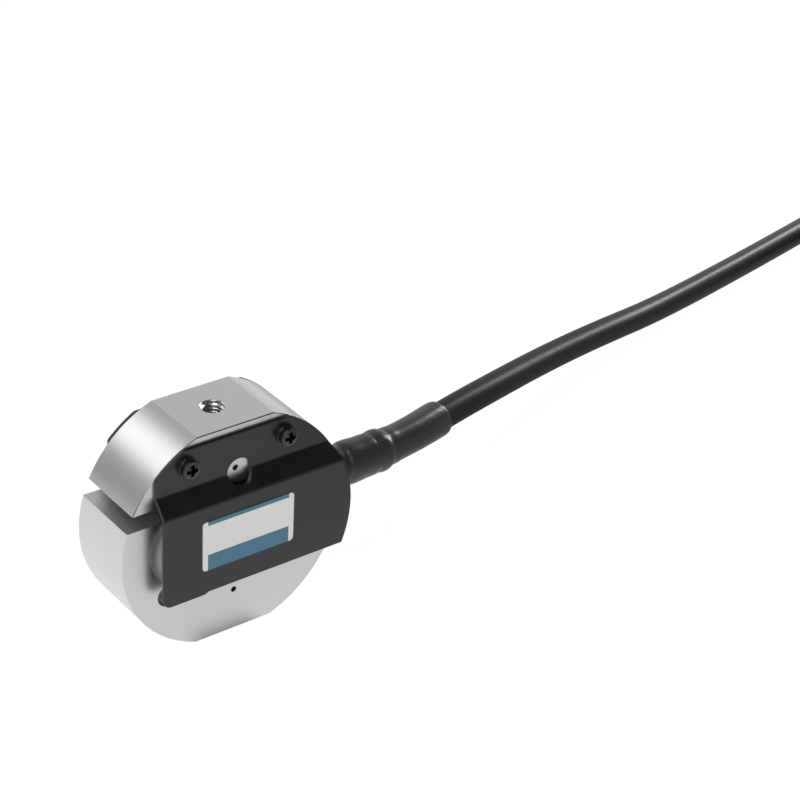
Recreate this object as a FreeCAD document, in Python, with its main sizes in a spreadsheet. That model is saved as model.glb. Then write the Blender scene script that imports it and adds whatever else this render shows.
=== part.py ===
import FreeCAD, Part
import math
import os

import Sketcher
from FreeCAD import Placement, Rotation, Vector

# A Z-type weighing load cell: a slotted metal disc that bends under load, with strain gauges in its middle
# beam, bent sheet covers on both faces, and a cable in a shrunk boot.
# Millimetres. The origin is the centre of the bottom flat, at the mouth of the lower thread. +Z runs up
# through both threads, +X is the side of the cable, and the labelled face looks to -Y.

# Driving sizes, one cell of the sheet each. Heights are taken from the disc's centre where not said.
SIZES = {
    # the disc
    "disc_diameter": 65.0,
    "flat_cut": 2.0,  # how deep each flat is cut into the round
    "disc_thickness": 21.0,
    "edge_break": 0.2,
    "beam_height": 19.06,  # the middle beam, between the two slots
    "slot_width": 4.35,
    "relief_offset": 19.3,  # the round end of a slot, sideways
    "relief_radius": 3.2,
    "thread_radius": 3.0,
    "thread_depth": 12.0,
    "thread_countersink": 0.25,
    "pin_inset": 12.2,  # the small drilled hole in each block, from the flat
    "pin_radius": 0.8,
    "pin_depth": 4.0,
    # the gauge cavity through the middle beam
    "cavity_offset": 15.0,
    "cavity_radius": 7.2,
    "cavity_slot": 4.0,
    # the covers
    "sheet_thickness": 0.8,
    "cover_set_back": 9.1,  # the straight edge, from the disc's round side
    "cover_inset": 2.0,  # the top edge, from the flat
    "cover_overhang": 2.75,  # the bottom edge, past the middle beam
    "cover_gap": 3.8,  # from the face to the inside of the panel
    "bend_above_slot": 3.56,
    "bend_drop": 4.45,  # from the upper bend to the lower one
    "bend_radius": 0.8,
    "tab_drop": 0.55,
    "tab_end": 11.5,
    "tab_slope": 1.0,
    "cover_corner": 2.0,
    "cover_shoulder": 1.5,  # the rounding between the straight edge and the round one
    "view_hole_radius": 3.4,
    "view_hole_shift": 0.5,  # to the right of the small hole behind it, and down
    # the screws and washers
    "screw_spacing": 28.6,
    "screw_inset": 6.85,  # from the flat
    "screw_radius": 1.25,
    "screw_length": 7.0,
    "head_radius": 2.5,
    "head_height": 2.0,
    "head_side": 0.9,
    "recess_width": 1.05,
    "recess_span": 3.2,
    "recess_depth": 1.2,
    "screw_clearance": 0.2,
    "plain_washer_radius": 2.75,
    "plain_washer_thickness": 0.5,
    "spring_washer_radius": 2.3,
    "spring_washer_thickness": 0.7,
    "spring_washer_split": 14.0,  # degrees
    # the gauge seals
    "seal_overlap": 2.1,  # past the cavity
    "seal_end_radius": 12.9,
    "seal_margin": 0.35,
    "seal_height": 1.7,
    "seal_corner": 3.0,
    "seal_edge": 1.3,
    # the gauges and wiring
    "gauge_width": 6.0,
    "gauge_length": 6.0,
    "gauge_thickness": 0.2,
    "board_length": 18.0,
    "board_thickness": 0.8,
    "board_clearance": 0.1,
    "resistor_length": 2.4,
    "resistor_height": 1.3,
    "resistor_thickness": 0.7,
    "resistor_pitch": 4.0,
    "lead_radius": 0.15,
    "lead_landing": 0.2,  # a gauge lead's end on the board, past the side of the cavity's bore
    "core_radius": 0.7,
    "core_pitch": 1.8,
    "core_clearance": 0.13,
    # the gland in the disc's round side
    "seat_depth": 0.8,
    "seat_clearance": 0.45,
    "gland_shank": 7.2,
    "gland_shank_radius": 3.8,
    "gland_bore_step": 0.5,  # the bore past the bush, wider than the bush's
    "gland_collar": 11.8,
    "collar_rim": 0.2,  # round the O-ring's groove
    "gland_barrel": 6.0,
    "gland_barrel_step": 0.35,  # from the tail up to the barrel
    "gland_tail": 4.0,
    "gland_tail_wall": 0.35,
    "gland_clearance": 0.05,
    "ring_section": 0.75,  # the O-ring
    "ring_room": 0.15,
    "bush_depth": 17.0,  # its far end, from the gland's mouth
    "bush_length": 5.0,
    "ferrule_wall": 0.4,
    "ferrule_waist_wall": 0.15,
    "ferrule_gap": 0.05,
    # the shrunk boot
    "boot_clearance": 0.2,  # from the disc's round side
    "boot_wall": 0.86,
    "boot_gap": 0.15,
    "boot_shoulder": 1.6,
    "boot_reach": 18.4,  # past the cable's first bend
    # the name plate
    "plate_width": 27.0,
    "plate_height": 14.3,
    "plate_thickness": 0.2,
    "plate_corner": 1.0,
    "plate_centre_x": 1.1,
    "plate_centre_z": 1.5,
    # the cable and its put-away coil
    "cable_diameter": 8.1,
    "cable_play": 0.1,  # in the gland
    "cable_first_run": 18.0,  # straight out of the gland, before the first bend
    "coil_centre_x": 339.4,
    "coil_centre_y": 15.9,
    "coil_mid_radius": 47.4,
    "coil_columns": 5,
    "coil_rows": 2,
    "tie_thickness": 0.8,
    "tie_width": 12.0,
    "tie_slack": 0.15,
    "tie_corner": 2.4,
    # the connector, along its own axis from the cable's end
    "plug_boot_radius": 6.3,
    "plug_boot_back": 8.0,
    "plug_boot_front": 8.0,
    "plug_nut_radius": 8.2,
    "plug_nut_back": 3.0,
    "plug_nut_length": 12.0,
    "plug_tail_wall": 1.3,
    "plug_body_radius": 8.0,
    "plug_body_length": 11.0,
    "plug_barrel_wall": 1.0,
    "plug_barrel_length": 12.0,
    "plug_ledge": 1.6,
    "plug_ring_wall": 2.7,
    "plug_ring_length": 14.0,
    "plug_flutes": 20,
    "plug_flute_radius": 1.1,
    "plug_insert_length": 9.0,
    "contact_radius": 0.75,
    "contact_bore": 0.45,
    "contact_bore_depth": 6.0,
    "contact_length": 15.0,
    "contact_circle": 3.6,
    "contact_count": 7,
    "contact_clearance": 0.25,
    "plug_clearance": 0.1,
}

# The cable's route past the gland, chosen by hand: down in a lazy curve, and along the floor to the coil.
LEAD_ROUTE = [
    (82.0, 7.4, 29.6),
    (106.0, 16.3, 26.0),
    (136.0, 29.5, 19.2),
    (170.0, 43.9, 11.0),
    (206.0, 55.4, 5.1),
    (251.0, 63.5, 4.05),
    (295.6, 72.1, 4.85),
]
# From the top of the coil to the connector beside it.
TAIL_ROUTE = [
    (301.9, -44.7, 12.9),
    (293.5, -43.9, 12.1),
    (282.0, -42.9, 10.0),
    (268.0, -41.7, 10.0),
]
# The angle, seen from above, at which the strap goes round the coil.
TIE_ANGLE = 8.6
# A fifth of a bend's two runs or so stays straight: each arc takes this share of the shorter run.
ARC_SHARE = 0.45
# The crimp's waist, its slope and its long ridge take this many equal steps of its length.
CRIMP_STEPS = 7
# How far a cutting sketch reaches past what it cuts.
OVERCUT = 2.0
# The bevel round the coil's outer shape, as a share of the cable's radius: the round turns stay inside it.
COIL_BEVEL = 0.55
# The cone that a drill leaves at the bottom of a hole, as a share of its radius.
DRILL_POINT = 0.6
LEFT = 1
RIGHT = -1
FRONT = -1
BACK = 1


class Dim:
    """A size worked out from the sheet: its number now, and the formula that binds a feature to it."""

    def __init__(self, value, formula):
        self.value = value
        self.formula = formula

    def __add__(self, other):
        return join(self, "+", other, self.value + number(other))

    def __radd__(self, other):
        return join(other, "+", self, number(other) + self.value)

    def __sub__(self, other):
        return join(self, "-", other, self.value - number(other))

    def __rsub__(self, other):
        return join(other, "-", self, number(other) - self.value)

    def __mul__(self, other):
        return join(self, "*", other, self.value * number(other))

    def __rmul__(self, other):
        return join(other, "*", self, number(other) * self.value)

    def __truediv__(self, other):
        return join(self, "/", other, self.value / number(other))

    def __neg__(self):
        return Dim(-self.value, f"(0 - {self.formula})")


def number(size):
    return size.value if isinstance(size, Dim) else float(size)


def formula(size):
    return size.formula if isinstance(size, Dim) else f"{float(size):.6f}"


def join(first, sign, second, value):
    return Dim(value, f"({formula(first)} {sign} {formula(second)})")


def leg(hypotenuse, other):
    """The other leg of a right triangle: how high a circle stands at a sideways distance."""
    value = math.sqrt(number(hypotenuse) ** 2 - number(other) ** 2)
    return Dim(value, f"sqrt({formula(hypotenuse)} ^ 2 - {formula(other)} ^ 2)")


def hypotenuse(first, second):
    value = math.hypot(number(first), number(second))
    return Dim(value, f"sqrt({formula(first)} ^ 2 + {formula(second)} ^ 2)")


class Sizes:
    """The sheet's cells as named sizes."""


doc = FreeCAD.newDocument("load_cell")
sheet = doc.addObject("Spreadsheet::Sheet", "Sizes")
S = Sizes()
for row, (alias, size) in enumerate(SIZES.items(), start=1):
    sheet.set(f"A{row}", str(size))
    sheet.setAlias(f"A{row}", alias)
    setattr(S, alias, Dim(float(size), f"Sizes.{alias}"))
doc.recompute()

# Places that several pieces share.
DISC_RADIUS = S.disc_diameter / 2
CENTRE = DISC_RADIUS - S.flat_cut
FACE = S.disc_thickness / 2
BEAM = S.beam_height / 2
PANEL = FACE + S.cover_gap + S.sheet_thickness
CABLE = S.cable_diameter / 2
SLOT_TOP = BEAM + S.slot_width
UPPER_BEND = SLOT_TOP + S.bend_above_slot
LOWER_BEND = UPPER_BEND - S.bend_drop
COVER_TOP = CENTRE - S.cover_inset
COVER_LEFT = DISC_RADIUS - S.cover_set_back
COVER_BOTTOM = BEAM + S.cover_overhang
SCREW_HEIGHT = CENTRE - S.screw_inset
PIN_HEIGHT = CENTRE - S.pin_inset
CAVITY_REACH = S.cavity_offset + S.cavity_radius
GLAND_SEAT = DISC_RADIUS - S.seat_depth
COLLAR_END = GLAND_SEAT + S.gland_collar
BARREL_END = COLLAR_END + S.gland_barrel
GLAND_END = BARREL_END + S.gland_tail
BUSH_START = GLAND_END - S.bush_depth
CABLE_START = BUSH_START + S.bush_length
BOOT_START = DISC_RADIUS + S.boot_clearance
RING_GROOVE = S.gland_shank_radius + S.ring_section + S.ring_room
COLLAR_RADIUS = RING_GROOVE + S.collar_rim
GLAND_ROOM = CABLE + S.cable_play
TAIL_RADIUS = GLAND_ROOM + S.gland_tail_wall
BARREL_RADIUS = TAIL_RADIUS + S.gland_barrel_step
FERRULE_BORE = TAIL_RADIUS + S.ferrule_gap
FERRULE_RADIUS = FERRULE_BORE + S.ferrule_wall
FERRULE_WAIST = FERRULE_BORE + S.ferrule_waist_wall
BUSH_BORE = hypotenuse(S.core_pitch / 2, S.core_pitch / 2) + S.core_radius + S.core_clearance
GLAND_BORE = BUSH_BORE + S.gland_bore_step
GAUGE_FACE = S.cavity_radius - S.gauge_thickness
BOARD_HEIGHT = S.cavity_slot - 2 * S.board_clearance
COIL_HALF = S.cable_diameter * S.coil_columns / 2
COIL_OUTER = S.coil_mid_radius + COIL_HALF
COIL_INNER = S.coil_mid_radius - COIL_HALF
COIL_TOP = S.tie_thickness + S.cable_diameter * S.coil_rows
PLUG_NUT_FRONT = S.plug_nut_back + S.plug_nut_length
PLUG_BODY_FRONT = PLUG_NUT_FRONT + S.plug_body_length
PLUG_FRONT = PLUG_BODY_FRONT + S.plug_barrel_length
PLUG_TAIL_BORE = S.contact_circle + S.contact_radius + S.contact_clearance
PLUG_TAIL = PLUG_TAIL_BORE + S.plug_tail_wall
PLUG_BORE = PLUG_TAIL_BORE + S.plug_ledge
PLUG_BARREL = PLUG_BORE + S.plug_barrel_wall
PLUG_RING = PLUG_BARREL + S.plug_clearance + S.plug_ring_wall
NODES = []


def bind(item, **sizes):
    """Binds properties to sizes. A double underscore stands for the dot of a sub-property."""
    for name, size in sizes.items():
        item.setExpression(name.replace("__", "."), formula(size))


def place(item, x=0, y=0, z=0, rotation=None):
    if rotation is not None:
        item.Placement = Placement(Vector(), rotation)
    bind(item, Placement__Base__x=x, Placement__Base__y=y, Placement__Base__z=z)


def keep(item, label):
    """Names a finished sub-part and puts it on the list of those that are written."""
    item.Label = label
    NODES.append(item)
    return item


def new_body(label):
    body = doc.addObject("PartDesign::Body", label)
    body.Label = label
    return body


def origin_feature(body, role):
    return next(item for item in body.Origin.OriginFeatures if item.Role == role)


def sketch_on(body, name, plane, offset=None):
    """An empty sketch on one of the body's own planes, moved along the plane's normal."""
    sketch = body.newObject("Sketcher::SketchObject", name)
    sketch.AttachmentSupport = [(origin_feature(body, plane), "")]
    sketch.MapMode = "FlatFace"
    if offset is not None:
        bind(sketch, AttachmentOffset__Base__z=offset)
    return sketch


def hold(sketch, kind, size, *where):
    """Adds a constraint whose value is a size of the sheet."""
    index = sketch.addConstraint(Sketcher.Constraint(kind, *where, number(size)))
    name = f"{kind}_{index}"
    sketch.renameConstraint(index, name)
    sketch.setExpression(f"Constraints.{name}", formula(size))


def hold_point(sketch, geometry, point, x, y):
    hold(sketch, "DistanceX", x, -1, 1, geometry, point)
    hold(sketch, "DistanceY", y, -1, 1, geometry, point)


def arc_through(start, end, radius, side):
    """The shorter arc from start to end, bulging to the left or right of the way along it."""
    chord = end - start
    sagitta = radius - math.sqrt(radius**2 - (chord.Length / 2) ** 2)
    normal = Vector(-chord.y, chord.x, 0).normalize()
    return Part.Arc(start, (start + end) / 2 + normal * (side * sagitta), end)


def outline(sketch, corners):
    """A closed outline. A corner is (x, y), or (x, y, radius, side) where an arc leads to the next one."""
    spots = [Vector(number(corner[0]), number(corner[1]), 0) for corner in corners]
    first = sketch.GeometryCount
    count = len(corners)
    ends = []
    for index, corner in enumerate(corners):
        start = spots[index]
        end = spots[(index + 1) % count]
        if len(corner) == 4:
            edge = arc_through(start, end, number(corner[2]), corner[3])
        else:
            edge = Part.LineSegment(start, end)
        geometry = sketch.addGeometry(edge, False)
        drawn_from, drawn_to = (sketch.getPoint(geometry, point) for point in (1, 2))
        forward = (drawn_from - start).Length < (drawn_to - start).Length
        ends.append((1, 2) if forward else (2, 1))
    for index, corner in enumerate(corners):
        geometry = first + index
        before = first + (index - 1) % count
        sketch.addConstraint(
            Sketcher.Constraint("Coincident", before, ends[index - 1][1], geometry, ends[index][0])
        )
        hold_point(sketch, geometry, ends[index][0], corner[0], corner[1])
        if len(corner) == 4:
            hold(sketch, "Radius", corner[2], geometry)


def circle(sketch, x, y, radius):
    spot = Vector(number(x), number(y), 0)
    geometry = sketch.addGeometry(Part.Circle(spot, Vector(0, 0, 1), number(radius)), False)
    hold_point(sketch, geometry, 3, x, y)
    hold(sketch, "Radius", radius, geometry)


def rectangle(sketch, left, low, right, high):
    outline(sketch, [(left, low), (right, low), (right, high), (left, high)])


def rounded_rectangle(sketch, left, low, right, high, corner):
    outline(
        sketch,
        [
            (left + corner, low),
            (right - corner, low, corner, RIGHT),
            (right, low + corner),
            (right, high - corner, corner, RIGHT),
            (right - corner, high),
            (left + corner, high, corner, RIGHT),
            (left, high - corner),
            (left, low + corner, corner, RIGHT),
        ],
    )


def feature(body, kind, sketch, name):
    item = body.newObject(f"PartDesign::{kind}", name)
    item.Profile = sketch
    sketch.Visibility = False
    return item


def pad(body, sketch, length, symmetric=False, reverse=False):
    item = feature(body, "Pad", sketch, f"{sketch.Name}_pad")
    item.SideType = "Symmetric" if symmetric else "One side"
    item.Reversed = reverse
    bind(item, Length=length)
    return item


def pocket(body, sketch, depth=None):
    """Cuts against the sketch's normal to a depth, or right through both ways."""
    item = feature(body, "Pocket", sketch, f"{sketch.Name}_pocket")
    if depth is None:
        item.Type = "ThroughAll"
        item.SideType = "Symmetric"
    else:
        bind(item, Length=depth)
    return item


def revolve(body, sketch, axis, cut=False, angle=360.0):
    item = feature(body, "Groove" if cut else "Revolution", sketch, f"{sketch.Name}_turned")
    item.ReferenceAxis = (origin_feature(body, axis), [""])
    bind(item, Angle=angle)
    return item


def turned(label, profile, axis="X_Axis", angle=360.0):
    """A body turned from one profile: (along, radius) pairs about X, or (radius, along) pairs about Z."""
    body = new_body(label)
    sketch = sketch_on(body, f"{label}_profile", "XZ_Plane")
    outline(sketch, profile)
    revolve(body, sketch, axis, angle=angle)
    return body


def soften(body, kind, base, size, test):
    """Fillets or chamfers the edges of a feature that pass a test."""
    doc.recompute()
    edges = [f"Edge{n}" for n, edge in enumerate(base.Shape.Edges, start=1) if test(edge)]
    if not edges:
        raise RuntimeError(f"{body.Label}: no edge to soften on {base.Name}")
    item = body.newObject(f"PartDesign::{kind}", f"{base.Name}_{kind.lower()}")
    item.Base = (base, edges)
    bind(item, **{"Radius" if kind == "Fillet" else "Size": size})
    return item


def edge_at(edge, **spots):
    """Whether every end of an edge lies at the given coordinates."""
    return all(
        abs(getattr(vertex.Point, axis) - number(spot)) < 0.001
        for vertex in edge.Vertexes
        for axis, spot in spots.items()
    )


def group(label, items):
    """Separate like solids that share one node."""
    compound = doc.addObject("Part::Compound", label)
    compound.Links = items
    return keep(compound, label)


def sensing_element():
    """The disc, worked from its centre: what is cut at the top is patterned to the bottom."""
    body = new_body("sensing_element")
    half = CENTRE
    flat = leg(DISC_RADIUS, half)
    disc = sketch_on(body, "disc", "XZ_Plane")
    outline(
        disc,
        [
            (-flat, -half),
            (flat, -half, DISC_RADIUS, RIGHT),
            (flat, half),
            (-flat, half, DISC_RADIUS, RIGHT),
        ],
    )
    blank = pad(body, disc, S.disc_thickness, symmetric=True)
    soften(
        body,
        "Chamfer",
        blank,
        S.edge_break,
        lambda edge: edge_at(edge, y=FACE) or edge_at(edge, y=-FACE),
    )

    slot = sketch_on(body, "slot", "XZ_Plane")
    rectangle(slot, -DISC_RADIUS - OVERCUT, BEAM, S.relief_offset, SLOT_TOP)
    relief = sketch_on(body, "relief", "XZ_Plane")
    circle(relief, S.relief_offset, BEAM + S.relief_radius, S.relief_radius)
    pin = sketch_on(body, "pin", "XZ_Plane", FACE)
    circle(pin, 0, PIN_HEIGHT, S.pin_radius)
    thread = sketch_on(body, "thread", "XZ_Plane")
    floor = half - S.thread_depth
    outline(
        thread,
        [
            (0, half),
            (0, floor - S.thread_radius * DRILL_POINT),
            (S.thread_radius, floor),
            (S.thread_radius, half - S.thread_countersink),
            (S.thread_radius + S.thread_countersink, half),
        ],
    )
    cuts = [
        pocket(body, slot),
        pocket(body, relief),
        pocket(body, pin, S.pin_depth),
        revolve(body, thread, "Z_Axis", cut=True),
    ]
    doc.recompute()
    twice = body.newObject("PartDesign::PolarPattern", "cuts_turned_over")
    twice.Originals = cuts
    twice.Axis = (origin_feature(body, "Y_Axis"), [""])
    twice.Angle = 360
    twice.Occurrences = 2
    body.Tip = twice

    bores = sketch_on(body, "cavity_bores", "XZ_Plane")
    circle(bores, -S.cavity_offset, 0, S.cavity_radius)
    circle(bores, S.cavity_offset, 0, S.cavity_radius)
    pocket(body, bores)
    joining = sketch_on(body, "cavity_slot", "XZ_Plane")
    low = S.cavity_slot / 2
    rectangle(joining, -S.cavity_offset, -low, S.cavity_offset, low)
    pocket(body, joining)
    taps = sketch_on(body, "cover_taps", "XZ_Plane")
    for along in (-1, 1):
        circle(taps, along * S.screw_spacing / 2, SCREW_HEIGHT, S.screw_radius)
    pocket(body, taps)
    entry = sketch_on(body, "cable_entry", "XZ_Plane")
    bore = S.gland_shank_radius + S.gland_clearance
    seat = COLLAR_RADIUS + S.seat_clearance
    outer = DISC_RADIUS + OVERCUT
    outline(
        entry,
        [
            (S.cavity_offset, 0),
            (outer, 0),
            (outer, seat),
            (GLAND_SEAT, seat),
            (GLAND_SEAT, bore),
            (S.cavity_offset, bore),
        ],
    )
    revolve(body, entry, "X_Axis", cut=True)
    place(body, z=CENTRE)
    keep(body, "sensing_element")


def bent_cover(label, side):
    """A sheet bent out over the middle beam, trimmed to the disc's round edge, screwed to the upper block."""
    body = new_body(label)
    sheet_in = FACE
    sheet_out = FACE + S.sheet_thickness
    panel_in = FACE + S.cover_gap
    run = UPPER_BEND - LOWER_BEND
    drop = S.sheet_thickness * (hypotenuse(S.cover_gap, run) - run) / S.cover_gap
    low = -DISC_RADIUS
    section = sketch_on(body, f"{label}_section", "YZ_Plane")
    corners = [
        (sheet_in, COVER_TOP),
        (sheet_in, UPPER_BEND - drop),
        (panel_in, LOWER_BEND - drop),
        (panel_in, low),
        (PANEL, low),
        (PANEL, LOWER_BEND),
        (sheet_out, UPPER_BEND),
        (sheet_out, COVER_TOP),
    ]
    outline(section, [(side * y, z) for y, z in corners])
    strip = pad(body, section, S.disc_diameter + 2 * OVERCUT, symmetric=True)
    inside = [corners[2], corners[6]]
    outside = [corners[1], corners[5]]
    tight = soften(
        body,
        "Fillet",
        strip,
        S.bend_radius,
        lambda edge: any(edge_at(edge, y=side * y, z=z) for y, z in inside),
    )
    soften(
        body,
        "Fillet",
        tight,
        S.bend_radius + S.sheet_thickness,
        lambda edge: any(edge_at(edge, y=side * y, z=z) for y, z in outside),
    )

    trim = sketch_on(body, f"{label}_trim", "XZ_Plane")
    tab = COVER_BOTTOM + S.tab_drop
    edge = DISC_RADIUS + 2 * OVERCUT
    rectangle(trim, -edge, -edge, edge, edge)
    top = leg(DISC_RADIUS, COVER_TOP)
    inset = COVER_LEFT - S.cover_shoulder
    shoulder = leg(DISC_RADIUS - S.cover_shoulder, inset)
    outward = DISC_RADIUS / (DISC_RADIUS - S.cover_shoulder)
    outline(
        trim,
        [
            (-COVER_LEFT, shoulder, S.cover_shoulder, LEFT),
            (-inset * outward, shoulder * outward, DISC_RADIUS, LEFT),
            (-top, COVER_TOP),
            (top, COVER_TOP, DISC_RADIUS, LEFT),
            (leg(DISC_RADIUS, COVER_BOTTOM), -COVER_BOTTOM),
            (S.tab_slope - S.tab_end, -COVER_BOTTOM),
            (-S.tab_end, -tab),
            (S.cover_corner - COVER_LEFT, -tab, S.cover_corner, LEFT),
            (-COVER_LEFT, S.cover_corner - tab),
        ],
    )
    pocket(body, trim)
    holes = sketch_on(body, f"{label}_holes", "XZ_Plane")
    for along in (-1, 1):
        circle(holes, along * S.screw_spacing / 2, SCREW_HEIGHT, S.screw_radius + S.screw_clearance)
    circle(holes, S.view_hole_shift, PIN_HEIGHT - S.view_hole_shift, S.view_hole_radius)
    pocket(body, holes)
    place(body, z=CENTRE)
    keep(body, label)


def cover_screw(label):
    """A pan-head screw: its seat is at 0 and its head points to +Z."""
    domed = S.head_height - S.head_side
    dome = (S.head_radius * S.head_radius + domed * domed) / (2 * domed)
    body = new_body(label)
    profile = sketch_on(body, f"{label}_profile", "XZ_Plane")
    outline(
        profile,
        [
            (0, -S.screw_length),
            (S.screw_radius, -S.screw_length),
            (S.screw_radius, 0),
            (S.head_radius, 0),
            (S.head_radius, S.head_side, dome, LEFT),
            (0, S.head_height),
        ],
    )
    revolve(body, profile, "Z_Axis")
    recess = sketch_on(body, f"{label}_recess", "XY_Plane", S.head_height)
    arm = S.recess_span / 2
    web = S.recess_width / 2
    quarter = [(arm, -web), (arm, web), (web, web)]
    turns = [(1, 0), (0, 1), (-1, 0), (0, -1)]
    outline(recess, [(c * x - s * y, s * x + c * y) for c, s in turns for x, y in quarter])
    pocket(body, recess, S.recess_depth)
    return body


def washer(label, radius, thickness, split=0.0):
    """A flat ring, whole or split, seated at 0."""
    hole = S.screw_radius + S.screw_clearance
    profile = [(hole, 0), (radius, 0), (radius, thickness), (hole, thickness)]
    return turned(label, profile, "Z_Axis", 360.0 - split)


def fasteners(name, side):
    """The two screws of a cover, each with its spring washer and its plain washer."""
    outward = Rotation(Vector(1, 0, 0), -90 * side)
    seat = FACE + S.sheet_thickness
    spring_seat = seat + S.plain_washer_thickness
    head_seat = spring_seat + S.spring_washer_thickness
    sets = {"screws": [], "spring_washers": [], "plain_washers": []}
    for end, along in (("left", -1), ("right", 1)):
        tag = f"{name}_{end}"
        screw = cover_screw(f"{tag}_screw")
        spring = washer(
            f"{tag}_spring_washer",
            S.spring_washer_radius,
            S.spring_washer_thickness,
            S.spring_washer_split,
        )
        plain = washer(f"{tag}_plain_washer", S.plain_washer_radius, S.plain_washer_thickness)
        for item, height in ((screw, head_seat), (spring, spring_seat), (plain, seat)):
            x = along * S.screw_spacing / 2
            place(item, x, side * height, CENTRE + SCREW_HEIGHT, outward)
        sets["screws"].append(screw)
        sets["spring_washers"].append(spring)
        sets["plain_washers"].append(plain)
    group(f"{name}_cover_screws", sets["screws"])
    group(f"{name}_spring_washers", sets["spring_washers"])
    group(f"{name}_plain_washers", sets["plain_washers"])


def gauge_seal(label, side):
    """A moulded pad that closes the gauge cavity and stays on the middle beam."""
    body = new_body(label)
    high = BEAM - S.seal_margin
    end = CAVITY_REACH + S.seal_overlap - S.seal_end_radius + leg(S.seal_end_radius, high)
    sketch = sketch_on(body, f"{label}_outline", "XZ_Plane", -side * FACE)
    outline(
        sketch,
        [
            (-end, -high),
            (end, -high, S.seal_end_radius, RIGHT),
            (end, high),
            (-end, high, S.seal_end_radius, RIGHT),
        ],
    )
    plate = pad(body, sketch, S.seal_height, reverse=side == BACK)
    spots = [(along * end, up * high) for along in (-1, 1) for up in (-1, 1)]
    rounded = soften(
        body,
        "Fillet",
        plate,
        S.seal_corner,
        lambda edge: any(edge_at(edge, x=x, z=z) for x, z in spots),
    )
    top = side * (FACE + S.seal_height)
    soften(body, "Fillet", rounded, S.seal_edge, lambda edge: edge_at(edge, y=top))
    place(body, z=CENTRE)
    keep(body, label)


def strain_gauge(label, along, upright):
    """A foil gauge bonded in a cavity bore, on the thin web next to a slot."""
    half = S.gauge_width / 2
    high = leg(S.cavity_radius, half)
    low = leg(GAUGE_FACE, half)
    body = new_body(label)
    sketch = sketch_on(body, f"{label}_section", "XZ_Plane")
    outline(
        sketch,
        [
            (-half, high, S.cavity_radius, LEFT),
            (half, high),
            (half, low, GAUGE_FACE, RIGHT),
            (-half, low),
        ],
    )
    pad(body, sketch, S.gauge_length, symmetric=True)
    turn = Rotation(Vector(0, 1, 0), 0 if upright else 180)
    place(body, along * S.cavity_offset, 0, CENTRE, turn)
    keep(body, label)


def box(label, length, width, height):
    item = doc.addObject("Part::Box", label)
    item.Label = label
    bind(item, Length=length, Width=width, Height=height)
    return item


def rod(label, radius, length, axis):
    item = doc.addObject("Part::Cylinder", label)
    item.Label = label
    bind(item, Radius=radius, Height=length)
    item.Placement = Placement(Vector(), Rotation(Vector(0, 0, 1), axis))
    return item


def wiring():
    """The bridge wiring: a board in the cavity's slot, its resistors, the gauge leads and the cores."""
    board = box("terminal_board", S.board_length, S.board_thickness, BOARD_HEIGHT)
    place(board, -S.board_length / 2, -S.board_thickness / 2, CENTRE - BOARD_HEIGHT / 2)
    keep(board, "terminal_board")

    resistors = []
    for index in (-1, 0, 1):
        item = box(f"resistor_{index + 2}", S.resistor_length, S.resistor_thickness, S.resistor_height)
        middle = index * S.resistor_pitch
        place(item, middle - S.resistor_length / 2, S.board_thickness / 2, CENTRE - S.resistor_height / 2)
        resistors.append(item)
    group("balance_resistors", resistors)

    thin = S.lead_radius.value
    reach = S.gauge_width.value / 3
    start_x = S.cavity_offset.value - reach
    start_z = math.sqrt(GAUGE_FACE.value**2 - reach**2) - thin
    end_x = (S.cavity_offset - S.cavity_radius - S.lead_landing).value
    end_z = (BOARD_HEIGHT / 4).value
    face = (S.board_thickness / 2 + S.lead_radius).value
    leads = []
    for along in (-1, 1):
        for up in (-1, 1):
            start = Vector(along * start_x, 2 * face, CENTRE.value + up * start_z)
            end = Vector(along * end_x, face, CENTRE.value + up * end_z)
            way = end - start
            leads.append(Part.makeCylinder(thin, way.Length, start, way))
    feature_of("gauge_leads", Part.makeCompound(leads))

    cores = []
    for across in (-1, 1):
        for up in (-1, 1):
            length = CABLE_START - S.board_length / 2
            item = rod(f"core_{len(cores) + 1}", S.core_radius, length, Vector(1, 0, 0))
            place(item, S.board_length / 2, across * S.core_pitch / 2, CENTRE + up * S.core_pitch / 2)
            cores.append(item)
    group("cable_cores", cores)


def feature_of(label, shape):
    """A sub-part whose shape follows a route, which no sketch holds."""
    item = doc.addObject("Part::Feature", label)
    item.Shape = shape
    return keep(item, label)


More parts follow.
